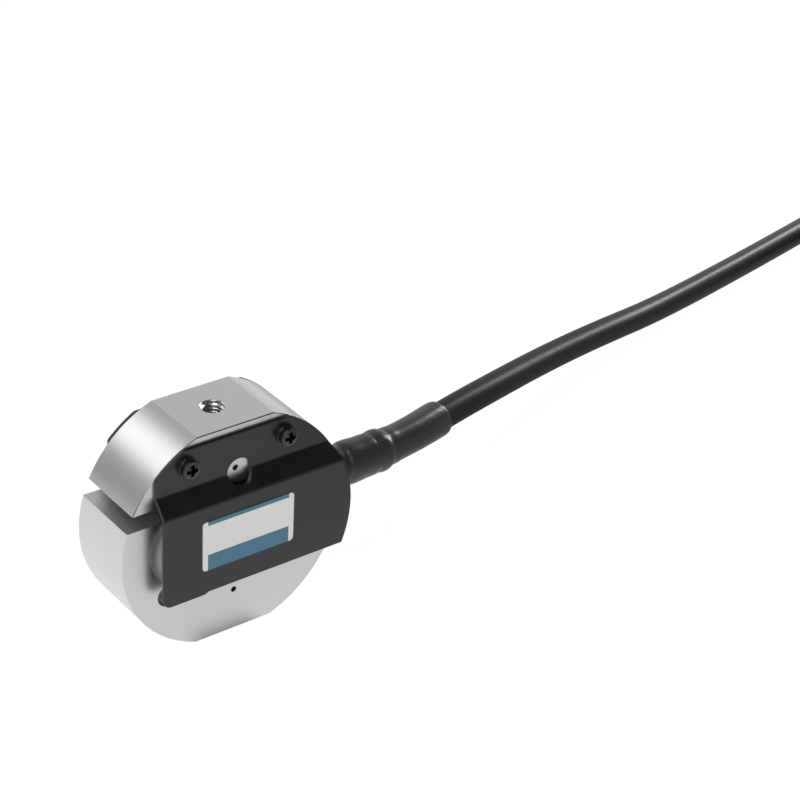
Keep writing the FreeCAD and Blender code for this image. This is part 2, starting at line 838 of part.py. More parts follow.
def cable_gland():
    """What holds and seals the cable in the disc's side, all turned about the cable's axis."""
    tip = GLAND_SEAT - S.gland_shank
    chamfer = S.edge_break
    seat_edge = GLAND_SEAT + S.ring_section
    gland = turned(
        "cable_gland",
        [
            (tip, GLAND_BORE),
            (tip, S.gland_shank_radius - chamfer),
            (tip + chamfer, S.gland_shank_radius),
            (seat_edge, S.gland_shank_radius),
            (seat_edge, RING_GROOVE),
            (GLAND_SEAT, RING_GROOVE),
            (GLAND_SEAT, COLLAR_RADIUS),
            (COLLAR_END, COLLAR_RADIUS),
            (COLLAR_END + chamfer, BARREL_RADIUS),
            (BARREL_END, BARREL_RADIUS),
            (BARREL_END, TAIL_RADIUS),
            (GLAND_END, TAIL_RADIUS),
            (GLAND_END, GLAND_ROOM),
            (BUSH_START, GLAND_ROOM),
            (BUSH_START, GLAND_BORE),
        ],
    )
    ring = doc.addObject("Part::Torus", "gland_o_ring")
    bind(ring, Radius1=(S.gland_shank_radius + RING_GROOVE) / 2, Radius2=S.ring_section / 2)
    place(ring, GLAND_SEAT + S.ring_section / 2, 0, CENTRE, Rotation(Vector(0, 1, 0), 90))
    outer = GLAND_ROOM - S.gland_clearance
    bush = turned(
        "core_bush",
        [(BUSH_START, BUSH_BORE), (BUSH_START, outer), (CABLE_START, outer), (CABLE_START, BUSH_BORE)],
    )
    start = BARREL_END
    end = GLAND_END
    inner = FERRULE_BORE
    step = (end - start) / CRIMP_STEPS
    ferrule = turned(
        "crimp_ferrule",
        [
            (start, inner),
            (start, FERRULE_WAIST),
            (start + 2 * step, FERRULE_WAIST),
            (start + 3 * step, FERRULE_RADIUS),
            (end - chamfer, FERRULE_RADIUS),
            (end, FERRULE_RADIUS - chamfer),
            (end, inner),
        ],
    )
    for item in (gland, bush, ferrule):
        place(item, z=CENTRE)
        keep(item, item.Label)
    keep(ring, "gland_o_ring")


def boot_profile(wall, tail):
    """The shrunk sleeve's profile: it hugs the gland and the ferrule, a wall away from them."""
    start = BARREL_END
    step = (GLAND_END - start) / CRIMP_STEPS
    collar = COLLAR_RADIUS + wall
    barrel = BARREL_RADIUS + wall
    ridge = FERRULE_RADIUS + wall
    waist = FERRULE_WAIST + wall
    return [
        (BOOT_START, 0),
        (BOOT_START, collar),
        (COLLAR_END + step / 2, collar),
        (COLLAR_END + 2 * step, barrel),
        (start, barrel),
        (start + step, waist),
        (start + 3 * step / 2, waist),
        (start + 5 * step / 2, ridge),
        (GLAND_END, ridge),
        (GLAND_END + S.boot_shoulder, tail),
        (GLAND_END + S.boot_shoulder, 0),
    ]


def route_edges(points):
    """Straight runs joined by tangent arcs, each as large as its two runs allow, and the arcs' radii."""
    edges = []
    radii = []
    at = points[0]
    for before, corner, after in zip(points, points[1:], points[2:]):
        back = (before - corner).normalize()
        on = (after - corner).normalize()
        half_turn = (math.pi - back.getAngle(on)) / 2
        cut = ARC_SHARE * min((before - corner).Length, (after - corner).Length)
        radius = cut / math.tan(half_turn)
        start = corner + back * cut
        end = corner + on * cut
        inward = (back + on).normalize()
        middle = corner + inward * (radius / math.cos(half_turn) - radius)
        edges.append(Part.LineSegment(at, start).toShape())
        edges.append(Part.Arc(start, middle, end).toShape())
        radii.append(radius)
        at = end
    edges.append(Part.LineSegment(at, points[-1]).toShape())
    return edges, radii


def tube(points, radius):
    """A round bar along a route, compared with its section times its length."""
    edges, radii = route_edges(points)
    path = Part.Wire(edges)
    ring = Part.Wire(Part.makeCircle(radius, points[0], points[1] - points[0]))
    solid = path.makePipeShell([ring], True, False)
    expected = math.pi * radius**2 * path.Length
    if abs(solid.Volume - expected) > 0.01 * expected:
        raise RuntimeError(f"tube volume {solid.Volume:.1f} is not {expected:.1f}")
    print("bend radii, mm:", [round(item) for item in radii], "length", round(path.Length, 1))
    return solid


def shrunk_boot(lead):
    """The sleeve over the gland and the start of the cable: turned over the one, swept along the other."""
    onward = (lead[2] - lead[1]).normalize()
    route = [lead[0], lead[1], lead[1] + onward * S.boot_reach.value]
    solids = {}
    for name, wall in (("outside", S.boot_gap + S.boot_wall), ("inside", S.boot_gap)):
        over_gland = turned(f"boot_{name}_turned", boot_profile(wall, CABLE + wall))
        place(over_gland, z=CENTRE)
        over_cable = doc.addObject("Part::Feature", f"boot_{name}_swept")
        over_cable.Shape = tube(route, (CABLE + wall).value)
        solids[name] = doc.addObject("Part::Fuse", f"boot_{name}")
        solids[name].Base = over_gland
        solids[name].Tool = over_cable
    boot = doc.addObject("Part::Cut", "heat_shrink_boot")
    boot.Base = solids["outside"]
    boot.Tool = solids["inside"]
    keep(boot, "heat_shrink_boot")


def name_plate():
    body = new_body("name_plate")
    sketch = sketch_on(body, "plate_outline", "XZ_Plane", PANEL)
    wide = S.plate_width / 2
    high = S.plate_height / 2
    rounded_rectangle(
        sketch,
        S.plate_centre_x - wide,
        S.plate_centre_z - high,
        S.plate_centre_x + wide,
        S.plate_centre_z + high,
        S.plate_corner,
    )
    pad(body, sketch, S.plate_thickness)
    place(body, z=CENTRE)
    keep(body, "name_plate")


def cable(lead, tail):
    """The cable's plain solids: both free stretches, and the outer shape of the coil between them."""
    feature_of("cable_lead", tube(lead, CABLE.value))
    feature_of("cable_tail", tube(tail, CABLE.value))
    coil = new_body("cable_coil")
    section = sketch_on(coil, "coil_section", "XZ_Plane")
    low = S.tie_thickness
    bevel = CABLE * COIL_BEVEL
    outline(
        section,
        [
            (COIL_INNER + bevel, low),
            (COIL_OUTER - bevel, low),
            (COIL_OUTER, low + bevel),
            (COIL_OUTER, COIL_TOP - bevel),
            (COIL_OUTER - bevel, COIL_TOP),
            (COIL_INNER + bevel, COIL_TOP),
            (COIL_INNER, COIL_TOP - bevel),
            (COIL_INNER, low + bevel),
        ],
    )
    revolve(coil, section, "Z_Axis")
    place(coil, S.coil_centre_x, S.coil_centre_y)
    keep(coil, "cable_coil")

    strap = new_body("coil_tie")
    loop = sketch_on(strap, "tie_loop", "XZ_Plane")
    near = leg(COIL_INNER, S.tie_width / 2) - S.tie_slack
    far = COIL_OUTER + S.tie_slack
    top = COIL_TOP + S.tie_slack
    wall = S.tie_thickness
    rounded_rectangle(loop, near, wall, far, top, S.tie_corner)
    rounded_rectangle(loop, near - wall, 0, far + wall, top + wall, S.tie_corner + wall)
    pad(strap, loop, S.tie_width, symmetric=True)
    place(strap, S.coil_centre_x, S.coil_centre_y, 0, Rotation(Vector(0, 0, 1), TIE_ANGLE))
    keep(strap, "coil_tie")


def connector(tail):
    """A round multi-pin plug, each piece turned about the plug's axis from the end of the cable."""
    way = tail[-1] - tail[-2]
    heading = Rotation(Vector(0, 0, 1), math.degrees(math.atan2(way.y, way.x)))
    gap = S.plug_clearance
    core = GLAND_BORE
    grip = CABLE + gap
    back = -S.plug_boot_back
    front = S.plug_boot_front
    boot = turned(
        "plug_boot",
        [
            (back, grip),
            (back, grip + S.boot_wall),
            (S.plug_nut_back, S.plug_boot_radius),
            (front, S.plug_boot_radius),
            (front, core),
            (0, core),
            (0, grip),
        ],
    )
    nut_bore = S.plug_boot_radius + gap
    thread = PLUG_TAIL + gap
    bevel = S.edge_break * 2
    nut = turned(
        "plug_clamp_nut",
        [
            (S.plug_nut_back, nut_bore),
            (S.plug_nut_back, S.plug_nut_radius - bevel),
            (S.plug_nut_back + bevel, S.plug_nut_radius),
            (PLUG_NUT_FRONT, S.plug_nut_radius),
            (PLUG_NUT_FRONT, thread),
            (front + gap, thread),
            (front + gap, nut_bore),
        ],
    )
    ledge = PLUG_FRONT - S.plug_insert_length - S.edge_break
    shell = turned(
        "plug_shell",
        [
            (front + gap, PLUG_TAIL_BORE),
            (front + gap, PLUG_TAIL),
            (PLUG_NUT_FRONT + gap, PLUG_TAIL),
            (PLUG_NUT_FRONT + gap, S.plug_body_radius),
            (PLUG_BODY_FRONT, S.plug_body_radius),
            (PLUG_BODY_FRONT, PLUG_BARREL),
            (PLUG_FRONT, PLUG_BARREL),
            (PLUG_FRONT, PLUG_BORE),
            (ledge, PLUG_BORE),
            (ledge, PLUG_TAIL_BORE),
        ],
    )
    ring = turned(
        "plug_coupling_ring",
        [
            (PLUG_BODY_FRONT + gap, PLUG_BARREL + gap),
            (PLUG_BODY_FRONT + gap, PLUG_RING - bevel),
            (PLUG_BODY_FRONT + gap + bevel, PLUG_RING),
            (PLUG_BODY_FRONT + S.plug_ring_length - bevel, PLUG_RING),
            (PLUG_BODY_FRONT + S.plug_ring_length, PLUG_RING - bevel),
            (PLUG_BODY_FRONT + S.plug_ring_length, PLUG_BARREL + gap),
        ],
    )
    flute = sketch_on(ring, "flute", "YZ_Plane")
    circle(flute, PLUG_RING + S.plug_flute_radius / 2, 0, S.plug_flute_radius)
    groove = pocket(ring, flute)
    doc.recompute()
    flutes = ring.newObject("PartDesign::PolarPattern", "flutes")
    flutes.Originals = [groove]
    flutes.Axis = (origin_feature(ring, "X_Axis"), [""])
    flutes.Angle = 360
    bind(flutes, Occurrences=S.plug_flutes)
    ring.Tip = flutes

    seat = ledge + S.plug_insert_length
    insert_radius = PLUG_BORE - S.gland_clearance
    insert = turned("plug_insert", [(ledge, 0), (ledge, insert_radius), (seat, insert_radius), (seat, 0)])
    count = int(S.contact_count.value)
    turns = [2 * math.pi * index / count for index in range(count)]
    spots = [(S.contact_circle * math.cos(turn), S.contact_circle * math.sin(turn)) for turn in turns]
    holes = sketch_on(insert, "contact_holes", "YZ_Plane")
    for y, z in spots:
        circle(holes, y, z, S.contact_radius + S.gland_clearance)
    pocket(insert, holes)

    contacts = []
    end = seat - S.contact_bore_depth
    for y, z in spots:
        contact = turned(
            f"plug_contact_{len(contacts) + 1}",
            [
                (seat - S.contact_length, 0),
                (seat - S.contact_length, S.contact_radius),
                (seat, S.contact_radius),
                (seat, S.contact_bore),
                (end, S.contact_bore),
                (end, 0),
            ],
        )
        contact.Placement = Placement(tail[-1] + heading.multVec(Vector(0, y.value, z.value)), heading)
        contacts.append(contact)
    group("plug_contacts", contacts)
    for item in (boot, nut, shell, ring, insert):
        item.Placement = Placement(tail[-1], heading)
        keep(item, item.Label)


def check():
    doc.recompute()
    for item in doc.Objects:
        if "Invalid" in item.State or "Error" in item.State:
            raise RuntimeError(f"{item.Label} failed: {item.State}")
    for item in NODES:
        if item.Shape.isNull() or not item.Shape.isValid():
            raise RuntimeError(f"{item.Label} has no valid shape")


def write():
    os.makedirs("parts", exist_ok=True)
    for item in NODES:
        item.Shape.exportStep(f"parts/{item.Label}.step")
        print(f"{item.Label}: {len(item.Shape.Solids)} solid(s), {item.Shape.Volume:.1f} mm3")


def main():
    start = CABLE_START.value
    gland_run = [(start, 0, CENTRE.value), (start + S.cable_first_run.value, 0, CENTRE.value)]
    lead = [Vector(*point) for point in gland_run + LEAD_ROUTE]
    tail = [Vector(*point) for point in TAIL_ROUTE]
    sensing_element()
    for name, side in (("front", FRONT), ("rear", BACK)):
        bent_cover(f"{name}_cover", side)
        fasteners(name, side)
        gauge_seal(f"{name}_gauge_seal", side)
    for where, along in (("left", -1), ("right", 1)):
        strain_gauge(f"gauge_upper_{where}", along, True)
        strain_gauge(f"gauge_lower_{where}", along, False)
    wiring()
    cable_gland()
    shrunk_boot(lead)
    name_plate()
    cable(lead, tail)
    connector(tail)
    check()
    write()


main()
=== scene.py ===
"""Weighing load cell: finishes, cable, shrunk boot, thread ridges and a pale studio."""

import math

import bmesh
import bpy
from bpy.props import FloatProperty, FloatVectorProperty, IntProperty, PointerProperty
from mathutils import Matrix, Vector


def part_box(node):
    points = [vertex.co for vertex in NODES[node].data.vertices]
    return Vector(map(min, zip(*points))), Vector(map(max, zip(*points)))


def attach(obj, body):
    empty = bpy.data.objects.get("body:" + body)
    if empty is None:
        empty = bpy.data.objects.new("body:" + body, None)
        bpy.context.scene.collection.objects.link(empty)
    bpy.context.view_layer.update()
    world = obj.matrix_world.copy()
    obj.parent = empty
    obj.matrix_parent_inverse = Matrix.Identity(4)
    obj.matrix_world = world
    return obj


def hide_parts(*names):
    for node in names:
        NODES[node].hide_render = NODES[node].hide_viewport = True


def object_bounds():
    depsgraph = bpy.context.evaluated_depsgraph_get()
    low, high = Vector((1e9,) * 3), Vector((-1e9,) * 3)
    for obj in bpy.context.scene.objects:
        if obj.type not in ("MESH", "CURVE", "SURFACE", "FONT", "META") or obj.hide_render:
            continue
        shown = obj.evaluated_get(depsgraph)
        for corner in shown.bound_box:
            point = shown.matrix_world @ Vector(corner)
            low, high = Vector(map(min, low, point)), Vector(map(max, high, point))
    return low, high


bl_info = {
    "name": "Weighing load cell",
    "version": (1, 0, 0),
    "blender": (4, 5, 0),
    "location": "3D View > Sidebar > Load cell",
    "description": "Dresses the load cell's solids and sets them in a pale studio",
    "category": "Object",
}

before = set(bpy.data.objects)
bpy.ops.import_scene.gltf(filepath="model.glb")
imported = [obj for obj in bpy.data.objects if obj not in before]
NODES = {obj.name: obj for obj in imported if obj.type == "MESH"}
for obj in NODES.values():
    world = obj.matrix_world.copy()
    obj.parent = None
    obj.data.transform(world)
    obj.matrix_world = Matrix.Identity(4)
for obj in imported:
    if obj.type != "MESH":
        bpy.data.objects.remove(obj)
CAD_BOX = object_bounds()

MM = 0.001

# The disc's centre is the middle of the sensing element's height.
CENTRE_HEIGHT = sum(corner[2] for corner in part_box("sensing_element")) / 2

# The camera's sensor in millimetres, and how far the floor lies below the object.
SENSOR_WIDTH = 36.0
FLOOR_GAP = 0.0001

# Each softbox: its name, the setting with its power, its width and height, and its place.
SOFTBOXES = (
    ("rim_softbox", "rim_lamp", (0.40, 0.40), (-0.39, 0.64, 0.63)),
    ("fill_softbox", "fill_lamp", (0.70, 0.70), (-0.63, -0.71, 0.67)),
    ("cable_softbox", "cable_lamp", (0.14, 0.70), (1.06, 0.27, 0.46)),
    ("top_softbox", "top_lamp", (0.40, 0.12), (-0.20, -0.08, 0.97)),
)

# The floor's white is a little over 1, to make up for the share that its shadow takes.
FLOOR_WHITE = 1.05

# Painted shade in the floor, seen only by metal that mirrors it: under the foot, in front of it and
# beside the cable.
# Each pair is where the shade fades in or out.
FOOT_MIDDLE = -0.002
FOOT_WIDTH = (0.005, 0.014)
FOOT_DEPTH = (0.008, 0.020)
FOOT_SHADE = 0.74
FRONT_WIDTH = (-0.025, 0.005)
FRONT_DEPTH = (-0.020, 0.0)
FRONT_SHADE = 0.08
FRONT_SHADE_RIGHT = 0.06
BESIDE_WIDTH = (0.03, 0.12)
BESIDE_DEPTH = (0.16, 0.30)
BESIDE_SHADE = 0.70

# The room, by direction: where each of its sides sets in and where it is full.
ROOM_BEHIND = (0.20, 0.60)
ROOM_RIGHT = (-0.55, 0.25)
ROOM_OVERHEAD = (0.15, 0.40)

# The room's greys in front, low and high, and behind, from level to straight up, with the
# share of the latter on the left.
ROOM_FRONT_LOW = 0.28
ROOM_FRONT_HIGH = 0.035
ROOM_FALL = ((0.0, 0.36), (0.25, 0.62), (0.50, 0.71), (0.62, 0.36), (0.75, 0.14), (1.0, 0.06))
ROOM_LEFT_SHARE = 0.3

# The cable's route from the gland to the coil, and from the coil to the plug.
LEAD_ROUTE = (
    (0.0415, 0.0000, 0.0305),
    (0.0570, 0.0000, 0.0305),
    (0.0820, 0.0074, 0.0296),
    (0.1060, 0.0163, 0.0260),
    (0.1360, 0.0295, 0.0192),
    (0.1700, 0.0438, 0.0108),
    (0.2060, 0.0549, 0.0042),
    (0.2510, 0.0635, 0.00405),
    (0.2956, 0.0721, 0.00485),
)
TAIL_ROUTE = (
    (0.3019, -0.0447, 0.0129),
    (0.2935, -0.0439, 0.0121),
    (0.2820, -0.0429, 0.0100),
    (0.2680, -0.0417, 0.0100),
)

# The put-away coil: where it is, the turns that step inward on the floor, the turn
# that climbs, and the turns that step outward on top.
COIL_CENTRE = (0.3394, 0.0159)
COIL_FLOOR = 0.00485
COIL_START = math.radians(101.4)
COIL_TURNS = 8.55
INWARD_TURNS = range(0, 4)
INWARD_STEP = (250 / 360, 1.0)
CLIMB_STEP = (4 + 180 / 360, 4 + 280 / 360)
OUTWARD_TURNS = range(5, 9)
OUTWARD_STEP = (60 / 360, 160 / 360)

# How finely the cable's spline and its round section are divided.
CABLE_ORDER = 3
CABLE_STEPS = 6
CABLE_ROUNDNESS = 5

# The boot's outline: distance along it and radius, in millimetres, from the disc outward.
BOOT_START = (0.0327, 0.0, 0.0305)
BOOT_OUTLINE = (
    (0.0, 5.64),
    (0.3, 5.74),
    (2.3, 5.78),
    (5.4, 5.76),
    (6.6, 5.60),
    (7.2, 5.60),
    (7.8, 5.86),
    (8.4, 6.06),
    (9.4, 6.10),
    (10.9, 6.05),
    (12.1, 5.94),
    (13.5, 5.85),
    (15.3, 5.84),
    (16.5, 5.80),
    (17.2, 5.64),
    (17.8, 5.76),
    (18.6, 6.00),
    (19.8, 6.00),
    (20.7, 5.88),
    (21.4, 5.44),
    (22.2, 5.23),
    (23.3, 5.28),
    (24.1, 5.24),
    (25.1, 5.08),
    (27.3, 5.03),
    (31.3, 5.05),
    (35.3, 5.09),
    (39.3, 5.15),
    (43.3, 5.19),
    (44.5, 5.14),
    (45.0, 4.98),
)
BOOT_SMOOTHING = 2

# A thread ridge's half widths at root and crest as shares of the pitch, and its fineness.
RIDGE_ROOT = 0.43
RIDGE_CREST = 0.09
RIDGE_STEPS = 28
MERGE_DISTANCE = 1e-6

# Colours of what is hidden or out of the picture; a pair is a darker and a lighter shade.
AMBER = ((0.55, 0.24, 0.04, 1.0), (0.68, 0.34, 0.07, 1.0))
FOIL = (0.62, 0.50, 0.36, 1.0)
RESIN = ((0.02, 0.11, 0.05, 1.0), (0.03, 0.16, 0.07, 1.0))
TIN = (0.70, 0.70, 0.68, 1.0)
LACQUER = ((0.05, 0.16, 0.30, 1.0), (0.07, 0.21, 0.38, 1.0))
RESISTOR_BAND = (0.34, 0.13, 0.04, 1.0)
CORE_RED = (0.50, 0.03, 0.03, 1.0)
CORE_GREEN = (0.03, 0.28, 0.08, 1.0)
CORE_BLACK = (0.02, 0.02, 0.02, 1.0)
CORE_WHITE = (0.70, 0.70, 0.68, 1.0)
COPPER = ((0.62, 0.25, 0.10, 1.0), (0.72, 0.34, 0.15, 1.0))
GOLD = ((0.78, 0.50, 0.16, 1.0), (0.86, 0.60, 0.24, 1.0))
RING_RUBBER = (0.012, 0.012, 0.012)
BUSH_NYLON = (0.62, 0.60, 0.54)
BOOT_RUBBER = (0.015, 0.015, 0.016)
INSERT_PLASTIC = (0.02, 0.02, 0.022)

CORD_NODES = ("cable_lead", "cable_coil", "cable_tail")


class StudioSettings(bpy.types.PropertyGroup):
    """The camera, the floor and the lamps."""

    camera_place: FloatVectorProperty(
        name="Camera place",
        description="Where the camera stands",
        subtype="TRANSLATION",
        unit="LENGTH",
        precision=4,
        default=(-0.2654, -0.4081, 0.3522),
    )
    camera_turn: FloatVectorProperty(
        name="Camera turn",
        description="How the camera is turned",
        subtype="EULER",
        default=(1.03639, -0.04882, -0.64244),
    )
    lens: FloatProperty(
        name="Lens",
        description="Focal length on a 36 mm wide sensor",
        subtype="DISTANCE_CAMERA",
        default=103.23,
    )
    floor_size: FloatProperty(
        name="Floor size",
        description="Half the width of the floor",
        unit="LENGTH",
        default=4.0,
    )
    floor_colour: FloatVectorProperty(
        name="Floor",
        description="Colour of the floor and the backdrop",
        subtype="COLOR",
        default=(0.92, 0.92, 0.92),
    )
    shadow_share: FloatProperty(
        name="Shadow",
        description="How much of the object's shadow the floor shows",
        subtype="FACTOR",
        min=0.0,
        max=1.0,
        default=0.08,
    )
    mirrored_share: FloatProperty(
        name="Mirrored shadow",
        description="How much of the object's shadow metal mirrors from the floor",
        subtype="FACTOR",
        min=0.0,
        max=1.0,
        default=0.12,
    )
    rim_lamp: FloatProperty(
        name="Rim lamp",
        description="Softbox behind the object on the left",
        subtype="POWER",
        default=0.75,
    )
    fill_lamp: FloatProperty(
        name="Fill lamp",
        description="Large softbox in front of the object on the left",
        subtype="POWER",
        default=7.1,
    )
    cable_lamp: FloatProperty(
        name="Cable lamp",
        description="Tall softbox on the right that draws a line of light along the cable",
        subtype="POWER",
        default=6.5,
    )
    top_lamp: FloatProperty(
        name="Top lamp",
        description="Small softbox over the object",
        subtype="POWER",
        default=1.5,
    )
    mirrored_room: FloatProperty(
        name="Mirrored backdrop",
        description="How much of the white backdrop metal mirrors",
        subtype="FACTOR",
        min=0.0,
        max=1.0,
        default=0.30,
    )


class CableSettings(bpy.types.PropertyGroup):
    """The cable and its coil."""

    diameter: FloatProperty(
        name="Diameter",
        description="Outside of the cable's jacket",
        unit="LENGTH",
        precision=4,
        default=0.0081,
    )
    length: FloatProperty(
        name="Length",
        description="From the gland to the plug",
        unit="LENGTH",
        default=2.88,
    )
    coil_radius: FloatProperty(
        name="Coil radius",
        description="Middle of the coil's outer turn",
        unit="LENGTH",
        precision=4,
        default=0.0636,
    )
    turn_points: IntProperty(
        name="Points per turn",
        description="Control points in each turn of the coil",
        default=24,
        min=12,
    )


class BootSettings(bpy.types.PropertyGroup):
    """The shrunk boot over the gland and the cable."""

    wall: FloatProperty(
        name="Wall",
        description="Thickness of the shrunk sleeve",
        unit="LENGTH",
        precision=5,
        default=0.0009,
    )
    sides: IntProperty(
        name="Sides",
        description="Points around the boot before it is smoothed",
        default=20,
        min=8,
    )


class ThreadSettings(bpy.types.PropertyGroup):
    """The ridges in the two threaded holes."""

    pitch: FloatProperty(
        name="Pitch",
        description="Distance from one ridge to the next",
        unit="LENGTH",
        precision=5,
        default=0.001,
    )
    root: FloatProperty(
        name="Root radius",
        description="Where the ridge leaves the wall of the hole",
        unit="LENGTH",
        precision=5,
        default=0.00304,
    )
    crest: FloatProperty(
        name="Crest radius",
        description="Inner edge of the ridge",
        unit="LENGTH",
        precision=5,
        default=0.00252,
    )
    lead_in: FloatProperty(
        name="Lead-in",
        description="Plain length at the mouth of the hole",
        unit="LENGTH",
        precision=5,
        default=0.00026,
    )
    start_angle: FloatProperty(
        name="Start angle",
        description="Where around the hole the thread begins",
        subtype="ANGLE",
        default=math.radians(-122),
    )
    turns: IntProperty(
        name="Turns",
        description="Turns of thread in each hole",
        default=10,
        min=1,
    )


class ColourSettings(bpy.types.PropertyGroup):
    """The colours of the pieces."""

    aluminium: FloatVectorProperty(
        name="Aluminium",
        description="Machined and ground body",
        subtype="COLOR",
        default=(0.64, 0.645, 0.64),
    )
    paint: FloatVectorProperty(
        name="Black paint",
        description="Powder coat on the covers",
        subtype="COLOR",
        default=(0.006, 0.0066, 0.0066),
    )
    blacking: FloatVectorProperty(
        name="Blackened steel",
        description="Screws and washers",
        subtype="COLOR",
        default=(0.010, 0.010, 0.011),
    )
    label_white: FloatVectorProperty(
        name="Label white",
        description="Ground of the label",
        subtype="COLOR",
        default=(0.84, 0.84, 0.82),
    )
    label_blue: FloatVectorProperty(
        name="Label blue",
        description="Bands of the label",
        subtype="COLOR",
        default=(0.063, 0.188, 0.283),
    )
    seal_middle: FloatVectorProperty(
        name="Seal middle",
        description="Thick middle of the gauge seal",
        subtype="COLOR",
        default=(0.50, 0.49, 0.43),
    )
    # The seal rim's colour is painted shade on the seal's thin rim.
    seal_rim_shade: FloatVectorProperty(
        name="Seal rim",
        description="Thin rim of the gauge seal",
        subtype="COLOR",
        default=(0.075, 0.08, 0.08),
    )
    jacket: FloatVectorProperty(
        name="Cable jacket",
        description="Black cable jacket",
        subtype="COLOR",
        default=(0.020, 0.020, 0.020),
    )
    sleeve: FloatVectorProperty(
        name="Shrunk sleeve",
        description="Black shrunk boot",
        subtype="COLOR",
        default=(0.027, 0.0275, 0.0275),
    )
    plate: FloatVectorProperty(
        name="Nickel plate",
        description="Gland, ferrule and plug shell",
        subtype="COLOR",
        default=(0.56, 0.54, 0.50),
    )
    strap: FloatVectorProperty(
        name="Strap",
        description="Woven strap on the coil",
        subtype="COLOR",
        default=(0.022, 0.022, 0.024),
    )


class LoadCellSettings(bpy.types.PropertyGroup):
    """All the sizes and colours of the load cell."""

    studio: PointerProperty(type=StudioSettings)
    cable: PointerProperty(type=CableSettings)
    boot: PointerProperty(type=BootSettings)
    thread: PointerProperty(type=ThreadSettings)
    colours: PointerProperty(type=ColourSettings)


def settings():
    return bpy.context.scene.load_cell


class Value:
    """A socket's output; arithmetic on it adds Math nodes."""

    def __init__(self, finish, socket):
        self.finish = finish
        self.socket = socket

    def maths(self, operation, *values):
        return self.finish.node("ShaderNodeMath", {"operation": operation}, dict(enumerate(values)))

    def output(self, name):
        return Value(self.finish, self.socket.node.outputs[name])

    def __add__(self, other):
        return self.maths("ADD", self, other)

    def __radd__(self, other):
        return self.maths("ADD", other, self)

    def __sub__(self, other):
        return self.maths("SUBTRACT", self, other)

    def __rsub__(self, other):
        return self.maths("SUBTRACT", other, self)

    def __mul__(self, other):
        return self.maths("MULTIPLY", self, other)

    def __rmul__(self, other):
        return self.maths("MULTIPLY", other, self)

    def __pow__(self, other):
        return self.maths("POWER", self, other)

    def __abs__(self):
        return self.maths("ABSOLUTE", self)

    def __gt__(self, other):
        return self.maths("GREATER_THAN", self, other)

    def __lt__(self, other):
        return self.maths("LESS_THAN", self, other)

    def __or__(self, other):
        return self.maths("MAXIMUM", self, other)


class Finish:
    """A node tree in the making: a material's, or the world's."""

    def __init__(self, owner):
        owner.use_nodes = True
        self.owner = owner
        self.tree = owner.node_tree

    def node(self, kind, options=None, sockets=None, output=0):
        """Adds a node: its settings first, then the values or links of its sockets."""
        node = self.tree.nodes.new(kind)
        for name, value in (options or {}).items():
            if name == "stops":
                self.set_stops(node.color_ramp, value)
            else:
                setattr(node, name, value)
        self.fill(node, sockets or {})
        return Value(self, node.outputs[output]) if node.outputs else None

    def set_stops(self, ramp, stops):
        while len(ramp.elements) < len(stops):
            ramp.elements.new(1.0)
        for element, (position, level) in zip(ramp.elements, stops):
            element.position = position
            element.color = (level, level, level, 1.0)

    def fill(self, node, sockets):
        for name, value in sockets.items():
            if isinstance(value, Value):
                self.tree.links.new(value.socket, node.inputs[name])
            else:
                node.inputs[name].default_value = value

    def mix(self, mask, first, second):
        """One colour where the mask is 0 and the other where it is 1."""
        sockets = {0: mask, 6: first, 7: second}
        return self.node("ShaderNodeMix", {"data_type": "RGBA"}, sockets, output=2)

    def smooth(self, value, low, high):
        """0 below low, 1 above high and an eased step between them."""
        sockets = {"Value": value, "From Min": low, "From Max": high}
        return self.node("ShaderNodeMapRange", {"interpolation_type": "SMOOTHSTEP"}, sockets)


class Surface(Finish):
    """A piece's material, worked out in millimetres around the disc's centre."""

    def __init__(self, name):
        super().__init__(bpy.data.materials.new(name))
        self.shader = self.tree.nodes["Principled BSDF"]
        sockets = {
            "Vector": self.node("ShaderNodeTexCoord", output="Object"),
            "Location": (0, 0, -CENTRE_HEIGHT / MM),
            "Scale": (1 / MM, 1 / MM, 1 / MM),
        }
        self.place = self.node("ShaderNodeMapping", {}, sockets)
        parts = self.node("ShaderNodeSeparateXYZ", {}, {"Vector": self.place})
        self.x = parts.output("X")
        self.y = parts.output("Y")
        self.z = parts.output("Z")

    def stretched(self, scale, turn=(0, 0, 0)):
        """The place with each axis scaled, for grain that runs one way."""
        sockets = {"Vector": self.place, "Scale": scale, "Rotation": turn}
        return self.node("ShaderNodeMapping", {}, sockets)

    def noise(self, scale, detail, vector=None):
        """Noise around 0.5, with a scale in cycles per millimetre."""
        sockets = {"Vector": vector or self.place, "Scale": scale, "Detail": detail}
        return self.node("ShaderNodeTexNoise", {}, sockets)

    def wave(self, direction, scale):
        """Even bands that follow one another in a direction."""
        sockets = {"Vector": self.place, "Scale": scale}
        return self.node("ShaderNodeTexWave", {"bands_direction": direction}, sockets)

    def relief(self, height, depth, edge=None):
        """Bumps of a depth in millimetres, over edges rounded by a radius in millimetres."""
        sockets = {"Height": height, "Distance": depth * MM, "Strength": 1.0}
        if edge:
            sockets["Normal"] = self.node("ShaderNodeBevel", {"samples": 6}, {"Radius": edge * MM})
        return self.node("ShaderNodeBump", {}, sockets)

    def set(self, **sockets):
        named = {name.replace("_", " "): value for name, value in sockets.items()}
        self.fill(self.shader, named)
        return self


def opaque(colour, share=1.0):
    """A colour with its alpha, made darker or lighter by a share."""
    return (colour[0] * share, colour[1] * share, colour[2] * share, 1.0)


def grey(level):
    return (level, level, level, 1.0)


def corners_of(name):
    """A solid's low and high corner, in millimetres around the disc's centre."""
    middle = Vector((0, 0, CENTRE_HEIGHT))
    return [(Vector(corner) - middle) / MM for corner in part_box(name)]


